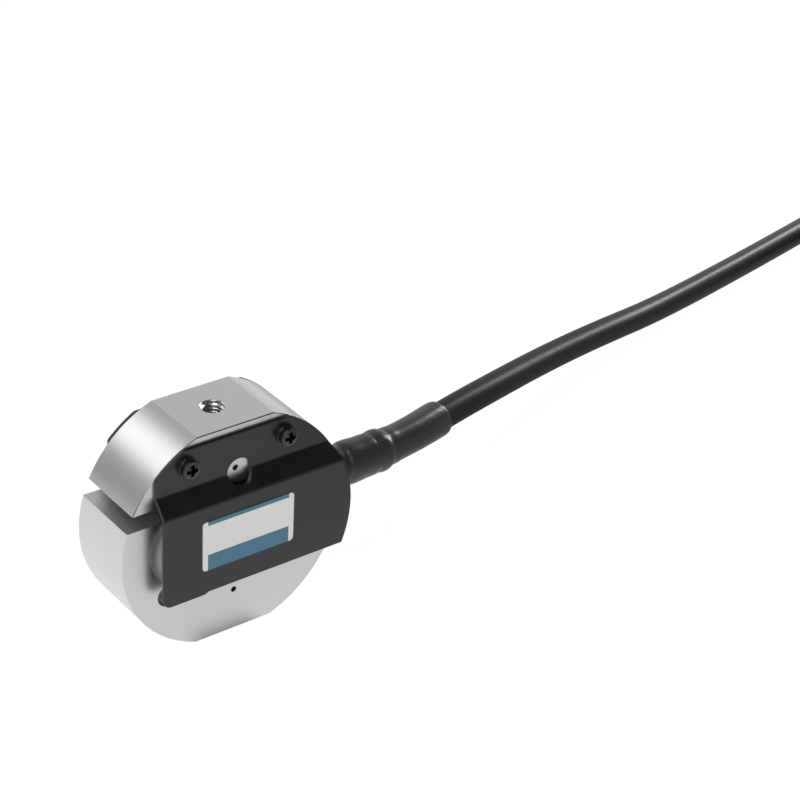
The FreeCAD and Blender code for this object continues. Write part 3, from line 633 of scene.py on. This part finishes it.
def dress(surface, *names):
    """Gives a material to solids that keep their shape."""
    for name in names:
        slots = NODES[name].material_slots
        if not slots:
            raise RuntimeError(f"{name} has no material slot")
        for slot in slots:
            slot.material = surface.owner


def add_piece(name, data, surface, slot, *replaced):
    """Puts a new piece into the scene, on the body, in place of the solids it stands for."""
    piece = bpy.data.objects.new(name, data)
    data.materials.append(surface.owner)
    bpy.context.scene.collection.objects.link(piece)
    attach(piece, "root")
    if replaced:
        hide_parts(*replaced)
    return piece


def mesh_of(name, shape):
    """A smooth-shaded mesh from a finished bmesh."""
    for face in shape.faces:
        face.smooth = True
    mesh = bpy.data.meshes.new(name)
    shape.to_mesh(mesh)
    shape.free()
    return mesh


def machined_aluminium(colour):
    """Turned rim, ground faces, milled flats and sawn slots of the sensing element, with painted shade
    on the upper broken edges and painted light in the slots.
    """
    metal = Surface("machined_aluminium")
    high = corners_of("sensing_element")[1]
    # How deep the worked skins go, how wide the broken edges are, and where the slots lie.
    skin = 0.22
    edge = 0.19
    slot_low = 9.4
    slot_high = 14.0
    saw_slant = math.radians(11)
    radius = (metal.x * metal.x + metal.z * metal.z) ** 0.5
    depth = abs(metal.y)
    height = abs(metal.z)
    face = depth > high.y - skin
    flat = height > high.z - skin
    rim = (radius > high.x - skin) * (1 - face)
    outer = (radius > high.x - edge) | (height > high.z - edge)
    # Only the edges above the upper slot are broken, and their colour is darkened to a painted shade
    # line.
    above = metal.smooth(metal.z, 9.0, 13.0)
    edge_shade = (depth > high.y - edge) * outer * above
    slot = (height > slot_low) * (height < slot_high) * (1 - face) * (1 - rim)
    turning = metal.noise(1.0, 3.0, metal.stretched((0.02, 7.0, 0.02)))
    sockets = {"W": radius, "Scale": 6.0, "Detail": 3.0}
    rings = metal.node("ShaderNodeTexNoise", {"noise_dimensions": "1D"}, sockets)
    milling = metal.noise(1.0, 3.0, metal.stretched((0.05, 5.0, 0.2)))
    sawing = metal.noise(1.0, 3.0, metal.stretched((2.2, 0.10, 0.6), (0, 0, saw_slant)))
    blasting = metal.noise(3.5, 4.0)
    handling = metal.noise(0.06, 4.0)
    mottle = metal.noise(1.3, 3.0)
    worked = rim * turning + face * (rings * 0.12 + blasting * 0.04) + flat * milling * (1 - face)
    marks = worked + slot * sawing * 8
    cloud = handling * 0.3 + blasting * 0.3 + mottle * 0.4
    tone = metal.mix(cloud, opaque(colour, 0.90), opaque(colour, 1.10))
    # The saw marks in the slots are lightened: saw grain, and painted light on the dim slot floor.
    sawn_and_painted_light = metal.mix(slot * metal.smooth(sawing, 0.40, 0.62), tone, opaque(colour, 1.15))
    # Painted shade: the broken edges above the upper slot are painted dark.
    shade = metal.mix(edge_shade, sawn_and_painted_light, opaque(colour, 0.22))
    polish = 0.30 + face * 0.05 + slot * 0.14 + (handling - 0.5) * 0.08 + (turning - 0.5) * rim * 0.10
    return metal.set(
        Base_Color=shade,
        Metallic=1.0,
        Roughness=polish,
        Normal=metal.relief(marks, 0.0012, 0.12),
    )


def powder_coat(colour):
    """Satin black coat with a fine orange peel and a soft edge."""
    paint = Surface("black_powder_coat")
    peel = paint.noise(1.6, 3.0)
    speck = paint.noise(7.0, 2.0)
    cloud = paint.noise(0.12, 3.0)
    return paint.set(
        Base_Color=paint.mix(cloud, opaque(colour, 0.8), opaque(colour, 1.3)),
        Roughness=0.29 + cloud * 0.08 + (speck - 0.5) * 0.06,
        Specular_IOR_Level=0.55,
        Normal=paint.relief(peel * 0.7 + speck * 0.3, 0.003, 0.40),
    )


def blackened_steel(colour):
    """Oiled black oxide on steel, with the cross recesses painted black as painted shade."""
    steel = Surface("blackened_steel")
    low, high = corners_of("front_cover_screws")
    head_radius = (high.z - low.z) / 2
    head_top = -low.y
    dome_fall = 0.155
    skin = 0.08
    recess_depth = 1.5
    recess_reach = 3.1
    sideways = abs(steel.x) - (high.x - head_radius)
    upward = steel.z - (high.z + low.z) / 2
    # The reach and the dome's fall are by the square of the distance from a screw's axis.
    outward = sideways * sideways + upward * upward
    sunk = abs(steel.y) + outward * dome_fall < head_top - skin
    # Painted shade: the cross recesses are painted black and matt.
    shaded_recess = sunk * (outward < recess_reach) * (abs(steel.y) > head_top - recess_depth)
    cloud = steel.noise(0.8, 4.0)
    grit = steel.noise(9.0, 3.0)
    oxide = steel.mix(cloud, opaque(colour, 0.7), opaque(colour, 1.5))
    return steel.set(
        Base_Color=steel.mix(shaded_recess, oxide, grey(0.0)),
        Metallic=shaded_recess,
        Roughness=0.08 + cloud * 0.08 + (grit - 0.5) * 0.06 + shaded_recess * 0.5,
        Specular_IOR_Level=0.65,
        Normal=steel.relief(grit, 0.002, 0.42),
    )


def label_film(white, blue):
    """White film with two plain blue bands that stop short of its ends."""
    film = Surface("label_film")
    low, high = corners_of("name_plate")
    end_margin = 1.5
    head_band = 1.1
    foot_band = 4.6
    across = (film.x > low.x + end_margin) * (film.x < high.x - end_margin)
    head = film.z > high.z - head_band
    foot = film.z < low.z + foot_band
    weave = film.noise(2.2, 3.0)
    cloud = film.noise(0.15, 2.0)
    ground = film.mix(cloud, opaque(white, 0.96), opaque(white, 1.03))
    ink = film.mix(weave, opaque(blue, 0.92), opaque(blue, 1.08))
    band = across * (head | foot)
    return film.set(
        Base_Color=film.mix(band, ground, ink),
        Roughness=0.36 + weave * 0.10,
        Normal=film.relief(weave * 0.6 + band * 0.4, 0.008, 0.08),
    )


def silicone_seal(middle, rim):
    """Cream moulded pad, with its thin rim painted dark grey as painted shade."""
    pad = Surface("silicone_seal")
    # Where the round ends are centred, and where the painted shade on the rim begins and ends.
    end_centre = 11.4
    end_shade = (11.2, 12.8)
    side_shade = (7.6, 9.1)
    past = abs(pad.x) - end_centre
    reach = past * (past > 0)
    end = (reach * reach + pad.z * pad.z) ** 0.5
    # Painted shade: the pad's rim is painted dark grey.
    edge = pad.smooth(end, *end_shade) | pad.smooth(abs(pad.z), *side_shade)
    cloud = pad.noise(0.5, 3.0)
    pores = pad.noise(5.0, 2.0)
    body = pad.mix(cloud, opaque(middle, 0.9), opaque(middle, 1.1))
    return pad.set(
        Base_Color=pad.mix(edge, body, opaque(rim)),
        Roughness=0.34 + cloud * 0.14,
        Normal=pad.relief(cloud * 0.8 + pores * 0.2, 0.05, 0.2),
    )


def cable_jacket(colour):
    """Black jacket with fine scuffs, matt near the boot and glossier farther out."""
    jacket = Surface("cable_jacket")
    glossier = (150.0, 250.0)
    scuff = jacket.noise(0.35, 4.0)
    grain = jacket.noise(5.0, 3.0)
    farther = jacket.smooth(jacket.x, *glossier)
    return jacket.set(
        Base_Color=jacket.mix(scuff, opaque(colour, 0.8), opaque(colour, 1.35)),
        Roughness=0.34 + scuff * 0.12,
        Specular_IOR_Level=0.08,
        Coat_Weight=farther * 0.62,
        Coat_Roughness=0.36,
        Normal=jacket.relief(grain * 0.5 + scuff * 0.5, 0.02),
    )


def shrunk_sleeve(colour):
    """Satin polyolefin with fine lengthwise drawing and soft pinches."""
    sleeve = Surface("shrunk_sleeve")
    drawn = sleeve.noise(1.0, 3.0, sleeve.stretched((0.25, 1.8, 1.8)))
    dimple = sleeve.noise(0.45, 2.0)
    grain = sleeve.noise(6.0, 2.0)
    return sleeve.set(
        Base_Color=sleeve.mix(drawn, opaque(colour, 0.85), opaque(colour, 1.3)),
        Roughness=0.26 + drawn * 0.10,
        Normal=sleeve.relief(drawn * 0.35 + dimple * 0.5 + grain * 0.1, 0.12),
    )


def nickel_plate(colour):
    """Bright nickel plate with fine turning and clouding."""
    plate = Surface("nickel_plate")
    cloud = plate.noise(0.25, 4.0)
    turning = plate.noise(1.0, 2.0, plate.stretched((4.0, 1.2, 1.2)))
    return plate.set(
        Base_Color=plate.mix(cloud, opaque(colour, 0.9), opaque(colour, 1.12)),
        Metallic=1.0,
        Roughness=0.18 + cloud * 0.14,
        Normal=plate.relief(turning, 0.006, 0.15),
    )


def moulded(name, colour, gloss, grain_scale=2.5, grain_depth=0.02):
    """A moulded plastic or rubber: its colour, its gloss and how coarse its grain is."""
    plastic = Surface(name)
    grain = plastic.noise(grain_scale, 3.0)
    cloud = plastic.noise(0.3, 3.0)
    return plastic.set(
        Base_Color=plastic.mix(cloud, opaque(colour, 0.85), opaque(colour, 1.2)),
        Roughness=gloss + (cloud - 0.5) * 0.12,
        Normal=plastic.relief(grain, grain_depth, 0.12),
    )


def woven_strap(colour):
    """Black webbing: slanted ribs, straight threads and some fuzz."""
    strap = Surface("woven_strap")
    ribs = strap.wave("DIAGONAL", 0.55)
    threads = strap.wave("Y", 0.45)
    fuzz = strap.noise(3.0, 4.0)
    weave = ribs * 0.4 + threads * 0.4 + fuzz * 0.4
    return strap.set(
        Base_Color=strap.mix(weave, opaque(colour, 0.6), opaque(colour, 1.8)),
        Roughness=0.72 + fuzz * 0.15,
        Normal=strap.relief(weave, 0.12),
    )


def gauge_foil():
    """Amber backing with the fine grid of a strain gauge."""
    foil = Surface("gauge_foil")
    grid_reach = 2.0
    grid = foil.wave("Y", 0.8)
    cloud = foil.noise(1.5, 2.0)
    track = (grid > 0.55) * (abs(foil.y) < grid_reach)
    backing = foil.mix(cloud, *AMBER)
    return foil.set(
        Base_Color=foil.mix(track, backing, FOIL),
        Metallic=track,
        Roughness=0.32 + cloud * 0.1,
        Normal=foil.relief(track, 0.01),
    )


def circuit_board():
    """Green glass-fibre board with a weave and tinned pads."""
    board = Surface("circuit_board")
    weave = board.wave("X", 0.7)
    sockets = {"Vector": board.place, "Scale": 0.42, "Randomness": 0.0}
    pad = board.node("ShaderNodeTexVoronoi", {}, sockets) < 0.24
    resin = board.mix(weave, *RESIN)
    return board.set(
        Base_Color=board.mix(pad, resin, TIN),
        Metallic=pad,
        Roughness=0.28 + weave * 0.1,
        Normal=board.relief(weave * 0.3 + pad, 0.02, 0.08),
    )


def resistor_body():
    """Blue lacquered resistors with plain colour bands."""
    body = Surface("resistor_body")
    bands = body.wave("X", 0.32)
    lacquer = body.noise(1.5, 2.0)
    tone = body.mix(lacquer, *LACQUER)
    return body.set(
        Base_Color=body.mix(bands > 0.86, tone, RESISTOR_BAND),
        Roughness=0.25 + lacquer * 0.1,
        Normal=body.relief(lacquer, 0.02),
    )


def core_insulation():
    """The cable's cores, each in its own plain colour."""
    cores = Surface("core_insulation")
    scuff = cores.noise(0.8, 1.0)
    lower = cores.mix(cores.y > 0.0, CORE_RED, CORE_GREEN)
    upper = cores.mix(cores.y > 0.0, CORE_BLACK, CORE_WHITE)
    return cores.set(
        Base_Color=cores.mix(cores.z > 0.0, lower, upper),
        Roughness=0.36 + scuff * 0.12,
        Normal=cores.relief(scuff, 0.02),
    )


def enamelled_wire():
    """Copper leads under clear enamel."""
    wire = Surface("enamelled_wire")
    cloud = wire.noise(1.2, 2.0)
    return wire.set(
        Base_Color=wire.mix(cloud, *COPPER),
        Metallic=1.0,
        Roughness=0.2 + cloud * 0.1,
        Normal=wire.relief(cloud, 0.01),
    )


def gold_contacts():
    """Gold-plated contacts with a slight clouding."""
    gold = Surface("gold_contacts")
    cloud = gold.noise(1.0, 3.0)
    return gold.set(
        Base_Color=gold.mix(cloud, *GOLD),
        Metallic=1.0,
        Roughness=0.16 + cloud * 0.12,
        Normal=gold.relief(cloud, 0.01),
    )


def ease(position, step):
    """0 before a step, 1 after it and a smooth climb between."""
    share = (position - step[0]) / (step[1] - step[0])
    share = min(max(share, 0.0), 1.0)
    return share * share * (3 - 2 * share)


def coil_points(cable):
    """Control points of the coil, clockwise from where the lead comes in."""
    angle = math.tau / cable.turn_points
    # A curve of the cable's order runs inside its control points by this share.
    hold = (3 + math.cos(angle)) / 4
    points = []
    for index in range(round(COIL_TURNS * cable.turn_points) + 1):
        turned = index / cable.turn_points
        inward = sum(ease(turned, [turn + share for share in INWARD_STEP]) for turn in INWARD_TURNS)
        outward = sum(ease(turned, [turn + share for share in OUTWARD_STEP]) for turn in OUTWARD_TURNS)
        radius = (cable.coil_radius - cable.diameter * (inward - outward)) / hold
        height = COIL_FLOOR + cable.diameter * ease(turned, CLIMB_STEP)
        polar = COIL_START - math.tau * turned
        points.append(
            (
                COIL_CENTRE[0] + radius * math.cos(polar),
                COIL_CENTRE[1] + radius * math.sin(polar),
                height,
            )
        )
    return points


def cable_curve(name, cable):
    """The cable's centre line: the lead, the coil and the tail in one spline."""
    curve = bpy.data.curves.new(name, "CURVE")
    curve.dimensions = "3D"
    route = [*LEAD_ROUTE, *coil_points(cable), *TAIL_ROUTE]
    spline = curve.splines.new("NURBS")
    spline.points.add(len(route) - 1)
    for point, place in zip(spline.points, route):
        point.co = (*place, 1.0)
    spline.order_u = CABLE_ORDER
    spline.use_endpoint_u = True
    spline.resolution_u = CABLE_STEPS
    return curve


def centre_line(cable):
    """Points along the cable, as its spline gives them with no thickness."""
    curve = cable_curve("cable_line", cable)
    line = bpy.data.objects.new("cable_line", curve)
    mesh = bpy.data.meshes.new_from_object(line)
    points = [vertex.co.copy() for vertex in mesh.vertices]
    bpy.data.objects.remove(line)
    bpy.data.curves.remove(curve)
    bpy.data.meshes.remove(mesh)
    return points


def along(points, distance):
    """The place and the direction at a distance along a line of points."""
    for start, end in zip(points, points[1:]):
        run = end - start
        if distance <= run.length:
            return start + run.normalized() * distance, run.normalized()
        distance -= run.length
    raise RuntimeError("the line is too short")


def add_ring(shape, place, heading, radius, sides):
    """A ring of edges around a line; gives its edges."""
    turn = heading.to_track_quat("Z", "Y").to_matrix().to_4x4()
    stand = Matrix.Translation(place) @ turn
    ring = bmesh.ops.create_circle(shape, segments=sides, radius=radius, matrix=stand)
    return list({edge for vertex in ring["verts"] for edge in vertex.link_edges})


class LOADCELL_OT_stage(bpy.types.Operator):
    """Sets the camera, the floor, the lamps and the room"""

    bl_idname = "loadcell.stage"
    bl_label = "Set the stage"

    def execute(self, context):
        studio = settings().studio
        context.scene.view_settings.view_transform = "Standard"
        self.set_camera(context, studio)
        self.lay_floor(context, studio)
        for name, power, size, place in SOFTBOXES:
            self.hang_lamp(context, name, getattr(studio, power), size, place)
        self.paint_room(context, studio)
        return {"FINISHED"}

    def set_camera(self, context, studio):
        camera = bpy.data.objects.new("camera", bpy.data.cameras.new("camera"))
        camera.data.lens = studio.lens
        camera.data.sensor_width = SENSOR_WIDTH
        camera.location = studio.camera_place
        camera.rotation_euler = studio.camera_turn
        context.scene.collection.objects.link(camera)
        context.scene.camera = camera

    def lay_floor(self, context, studio):
        shape = bmesh.new()
        level = Matrix.Translation((0, 0, CAD_BOX[0][2] - FLOOR_GAP))
        bmesh.ops.create_grid(shape, x_segments=4, y_segments=4, size=studio.floor_size, matrix=level)
        floor = bpy.data.objects.new("pale_floor", mesh_of("pale_floor", shape))
        floor.data.materials.append(self.floor_material(studio))
        context.scene.collection.objects.link(floor)

    def floor_material(self, studio):
        """White paper to the camera and to mirrors, with a share of the object's shadow."""
        paper = Finish(bpy.data.materials.new("pale_paper"))
        paper.tree.nodes.clear()
        path = paper.node("ShaderNodeLightPath", output="Is Camera Ray")
        seen = (path | path.output("Is Transmission Ray")) * (1 - studio.shadow_share)
        glossy = path.output("Is Glossy Ray")
        mirrored = glossy * (1 - studio.mirrored_share)
        lit = paper.node("ShaderNodeBsdfDiffuse", {}, {"Color": opaque(studio.floor_colour)})
        tone = paper.mix(glossy * self.mirrored_shade(paper), grey(1.0), grey(0.0))
        white = paper.node("ShaderNodeEmission", {}, {"Color": tone, "Strength": FLOOR_WHITE})
        blend = {0: seen | mirrored, 1: lit, 2: white}
        shown = paper.node("ShaderNodeMixShader", {}, blend)
        paper.node("ShaderNodeOutputMaterial", {}, {"Surface": shown})
        return paper.owner

    def mirrored_shade(self, paper):
        """How much painted shade each place of the floor has for metal that mirrors it."""
        coordinates = paper.node("ShaderNodeTexCoord", output="Object")
        parts = paper.node("ShaderNodeSeparateXYZ", {}, {"Vector": coordinates})
        across = parts.output("X")
        inward = parts.output("Y")
        ahead = paper.smooth(abs(inward), *FOOT_DEPTH)
        aside = paper.smooth(abs(across - FOOT_MIDDLE), *FOOT_WIDTH)
        foot = (1 - ahead) * (1 - aside) * FOOT_SHADE
        before = 1 - paper.smooth(inward, *FRONT_DEPTH)
        rightward = paper.smooth(across, *FRONT_WIDTH)
        front = before * (rightward * FRONT_SHADE_RIGHT + FRONT_SHADE)
        outward = paper.smooth(across, *BESIDE_WIDTH)
        near = 1 - paper.smooth(inward, *BESIDE_DEPTH)
        beside = outward * near * BESIDE_SHADE
        return foot | front | beside

    def hang_lamp(self, context, name, power, size, place):
        lamp = bpy.data.lights.new(name, "AREA")
        lamp.energy = power
        lamp.shape = "RECTANGLE"
        lamp.size, lamp.size_y = size
        hung = bpy.data.objects.new(name, lamp)
        hung.location = place
        heading = Vector(place) - Vector((0, 0, CENTRE_HEIGHT))
        hung.rotation_euler = heading.to_track_quat("Z", "Y").to_euler()
        context.scene.collection.objects.link(hung)

    def paint_room(self, context, studio):
        """A white backdrop to the camera, and a room of soft greys to the object."""
        world = context.scene.world or bpy.data.worlds.new("room")
        context.scene.world = world
        room = Finish(world)
        room.tree.nodes.clear()
        direction = room.node("ShaderNodeTexCoord", output="Generated")
        parts = room.node("ShaderNodeSeparateXYZ", {}, {"Vector": direction})
        height = parts.output("Z")
        behind = room.smooth(parts.output("Y"), *ROOM_BEHIND)
        rightward = room.smooth(parts.output("X"), *ROOM_RIGHT)
        overhead = room.smooth(height, *ROOM_OVERHEAD)
        falling = room.node("ShaderNodeValToRGB", {"stops": ROOM_FALL}, {"Fac": height})
        share = rightward * (1 - ROOM_LEFT_SHARE) + ROOM_LEFT_SHARE
        back = room.mix(share, grey(0.0), falling)
        front = room.mix(overhead, grey(ROOM_FRONT_LOW), grey(ROOM_FRONT_HIGH))
        dim = room.mix(behind, front, back)
        path = room.node("ShaderNodeLightPath", output="Is Camera Ray")
        mirrored = path.output("Is Glossy Ray") * behind * studio.mirrored_room
        seen = path | path.output("Is Transmission Ray") | mirrored
        colour = room.mix(seen, dim, grey(1.0))
        light = room.node("ShaderNodeBackground", {}, {"Color": colour})
        room.node("ShaderNodeOutputWorld", {}, {"Surface": light})


class LOADCELL_OT_cable(bpy.types.Operator):
    """Lays the cable from the gland through its coil to the plug"""

    bl_idname = "loadcell.cable"
    bl_label = "Lay the cable"

    def execute(self, context):
        cable = settings().cable
        jacket = cable_jacket(settings().colours.jacket)
        curve = cable_curve("cable", cable)
        curve.bevel_depth = cable.diameter / 2
        curve.bevel_resolution = CABLE_ROUNDNESS
        curve.use_fill_caps = True
        piece = add_piece("cable", curve, jacket, "cable_jacket", *CORD_NODES)
        return {"FINISHED"}


class LOADCELL_OT_boot(bpy.types.Operator):
    """Shrinks the boot over the gland and along the cable"""

    bl_idname = "loadcell.boot"
    bl_label = "Shrink the boot"

    def execute(self, context):
        boot = settings().boot
        line = [Vector(BOOT_START), *centre_line(settings().cable)]
        low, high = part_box("cable_gland")
        gland_radius = (high[2] - low[2]) / 2
        shape = bmesh.new()
        outside = []
        inside = []
        for distance, radius in BOOT_OUTLINE:
            place, heading = along(line, distance * MM)
            outside.append(add_ring(shape, place, heading, radius * MM, boot.sides))
            bore = radius * MM - boot.wall
            # Over the gland the bore is never tighter than the gland.
            if place.x < high[0]:
                bore = max(bore, gland_radius)
            inside.append(add_ring(shape, place, heading, bore, boot.sides))
        rings = [*outside, *reversed(inside)]
        for ring, following in zip(rings, [*rings[1:], rings[0]]):
            bmesh.ops.bridge_loops(shape, edges=[*ring, *following])
        bmesh.ops.recalc_face_normals(shape, faces=shape.faces)
        mesh = mesh_of("shrunk_boot", shape)
        sleeve = shrunk_sleeve(settings().colours.sleeve)
        piece = add_piece("shrunk_boot", mesh, sleeve, "shrink_sleeve", "heat_shrink_boot")
        smooth = piece.modifiers.new("soft_form", "SUBSURF")
        smooth.levels = BOOT_SMOOTHING
        smooth.render_levels = BOOT_SMOOTHING
        return {"FINISHED"}


class LOADCELL_OT_element(bpy.types.Operator):
    """Finishes the machined disc and cuts the ridges of its two threads"""

    bl_idname = "loadcell.element"
    bl_label = "Finish the sensing element"

    def execute(self, context):
        metal = machined_aluminium(settings().colours.aluminium)
        dress(metal, "sensing_element")
        low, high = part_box("sensing_element")
        thread = settings().thread
        shape = bmesh.new()
        self.cut_ridge(shape, thread, high[2] - thread.lead_in, -1)
        self.cut_ridge(shape, thread, low[2] + thread.lead_in, 1)
        bmesh.ops.remove_doubles(shape, verts=shape.verts, dist=MERGE_DISTANCE)
        bmesh.ops.recalc_face_normals(shape, faces=shape.faces)
        # Spin leaves its parts in no set order, so they are put in one that each run gives.
        shape.verts.sort(key=lambda vertex: vertex.co.z)
        shape.faces.sort(key=self.rank)
        # The ridges stay flat-shaded, so that their edges are crisp.
        mesh = bpy.data.meshes.new("thread_ridges")
        shape.to_mesh(mesh)
        shape.free()
        add_piece("thread_ridges", mesh, metal, "bare_metal")
        return {"FINISHED"}

    def rank(self, face):
        """A number that no two faces share: the height, and a little for the radius."""
        centre = face.calc_center_median()
        return centre.z / MM + centre.xy.length

    def cut_ridge(self, shape, thread, mouth, way):
        """Spins a ridge into a hole from its mouth: way is -1 downward and 1 upward."""
        wide = thread.pitch * RIDGE_ROOT
        narrow = thread.pitch * RIDGE_CREST
        middle = mouth + way * wide
        profile = (
            (thread.root, middle - wide),
            (thread.crest, middle - narrow),
            (thread.crest, middle + narrow),
            (thread.root, middle + wide),
        )
        toward = Vector((math.cos(thread.start_angle), math.sin(thread.start_angle), 0))
        places = [toward * radius + Vector((0, 0, height)) for radius, height in profile]
        corners = [shape.verts.new(place) for place in places]
        face = shape.faces.new(corners)
        bmesh.ops.spin(
            shape,
            geom=[*corners, *face.edges, face],
            cent=(0, 0, 0),
            axis=(0, 0, 1),
            dvec=(0, 0, way * thread.pitch / RIDGE_STEPS),
            angle=math.tau * thread.turns * way,
            steps=RIDGE_STEPS * thread.turns,
        )


class LOADCELL_OT_covers(bpy.types.Operator):
    """Coats the two bent covers"""

    bl_idname = "loadcell.covers"
    bl_label = "Coat the covers"

    def execute(self, context):
        dress(powder_coat(settings().colours.paint), "front_cover", "rear_cover")
        return {"FINISHED"}


class LOADCELL_OT_fasteners(bpy.types.Operator):
    """Blackens the screws and washers"""

    bl_idname = "loadcell.fasteners"
    bl_label = "Blacken the fasteners"

    def execute(self, context):
        steel = blackened_steel(settings().colours.blacking)
        for side in ("front", "rear"):
            dress(steel, f"{side}_cover_screws", f"{side}_spring_washers", f"{side}_plain_washers")
        return {"FINISHED"}


class LOADCELL_OT_label(bpy.types.Operator):
    """Prints the label with plain colour fields"""

    bl_idname = "loadcell.label"
    bl_label = "Print the label"

    def execute(self, context):
        colours = settings().colours
        dress(label_film(colours.label_white, colours.label_blue), "name_plate")
        return {"FINISHED"}


class LOADCELL_OT_seals(bpy.types.Operator):
    """Pours the pads that close the gauge cavity"""

    bl_idname = "loadcell.seals"
    bl_label = "Pour the seals"

    def execute(self, context):
        colours = settings().colours
        silicone = silicone_seal(colours.seal_middle, colours.seal_rim_shade)
        dress(silicone, "front_gauge_seal", "rear_gauge_seal")
        return {"FINISHED"}


class LOADCELL_OT_bridge(bpy.types.Operator):
    """Finishes the gauges, the board and the wiring in the cavity"""

    bl_idname = "loadcell.bridge"
    bl_label = "Finish the bridge"

    def execute(self, context):
        foil = gauge_foil()
        for side in ("left", "right"):
            dress(foil, f"gauge_upper_{side}", f"gauge_lower_{side}")
        dress(circuit_board(), "terminal_board")
        dress(resistor_body(), "balance_resistors")
        dress(enamelled_wire(), "gauge_leads")
        dress(core_insulation(), "cable_cores")
        return {"FINISHED"}


class LOADCELL_OT_gland(bpy.types.Operator):
    """Finishes what holds and seals the cable under the boot"""

    bl_idname = "loadcell.gland"
    bl_label = "Finish the gland"

    def execute(self, context):
        dress(nickel_plate(settings().colours.plate), "cable_gland", "crimp_ferrule")
        dress(moulded("seal_ring_rubber", RING_RUBBER, 0.45), "gland_o_ring")
        dress(moulded("bush_nylon", BUSH_NYLON, 0.42), "core_bush")
        return {"FINISHED"}


class LOADCELL_OT_plug(bpy.types.Operator):
    """Finishes the plug on the far end and the strap on the coil"""

    bl_idname = "loadcell.plug"
    bl_label = "Finish the plug"

    def execute(self, context):
        colours = settings().colours
        dress(nickel_plate(colours.plate), "plug_clamp_nut", "plug_shell", "plug_coupling_ring")
        dress(moulded("boot_rubber", BOOT_RUBBER, 0.55, 1.6, 0.05), "plug_boot")
        dress(moulded("insert_plastic", INSERT_PLASTIC, 0.38), "plug_insert")
        dress(gold_contacts(), "plug_contacts")
        dress(woven_strap(colours.strap), "coil_tie")
        return {"FINISHED"}


class LOADCELL_PT_pieces(bpy.types.Panel):
    """The load cell's pieces, in the order they are made"""

    bl_idname = "LOADCELL_PT_pieces"
    bl_label = "Load cell"
    bl_space_type = "VIEW_3D"
    bl_region_type = "UI"
    bl_category = "Load cell"

    def draw(self, context):
        column = self.layout.column(align=True)
        for operator in OPERATORS:
            column.operator(operator.bl_idname)
        for group in ("studio", "cable", "boot", "thread", "colours"):
            values = getattr(settings(), group)
            box = self.layout.box()
            for name in values.__annotations__:
                box.prop(values, name)


SETTINGS = (
    StudioSettings,
    CableSettings,
    BootSettings,
    ThreadSettings,
    ColourSettings,
    LoadCellSettings,
)
OPERATORS = (
    LOADCELL_OT_stage,
    LOADCELL_OT_cable,
    LOADCELL_OT_boot,
    LOADCELL_OT_element,
    LOADCELL_OT_covers,
    LOADCELL_OT_fasteners,
    LOADCELL_OT_label,
    LOADCELL_OT_seals,
    LOADCELL_OT_bridge,
    LOADCELL_OT_gland,
    LOADCELL_OT_plug,
)
CLASSES = (*SETTINGS, *OPERATORS, LOADCELL_PT_pieces)


def register():
    for each in CLASSES:
        bpy.utils.register_class(each)
    bpy.types.Scene.load_cell = PointerProperty(type=LoadCellSettings)


def unregister():
    del bpy.types.Scene.load_cell
    for each in reversed(CLASSES):
        bpy.utils.unregister_class(each)


def main():
    register()
    bpy.ops.loadcell.stage()
    bpy.ops.loadcell.cable()
    bpy.ops.loadcell.boot()
    bpy.ops.loadcell.element()
    bpy.ops.loadcell.covers()
    bpy.ops.loadcell.fasteners()
    bpy.ops.loadcell.label()
    bpy.ops.loadcell.seals()
    bpy.ops.loadcell.bridge()
    bpy.ops.loadcell.gland()
    bpy.ops.loadcell.plug()


if __name__ == "__main__":
    main()
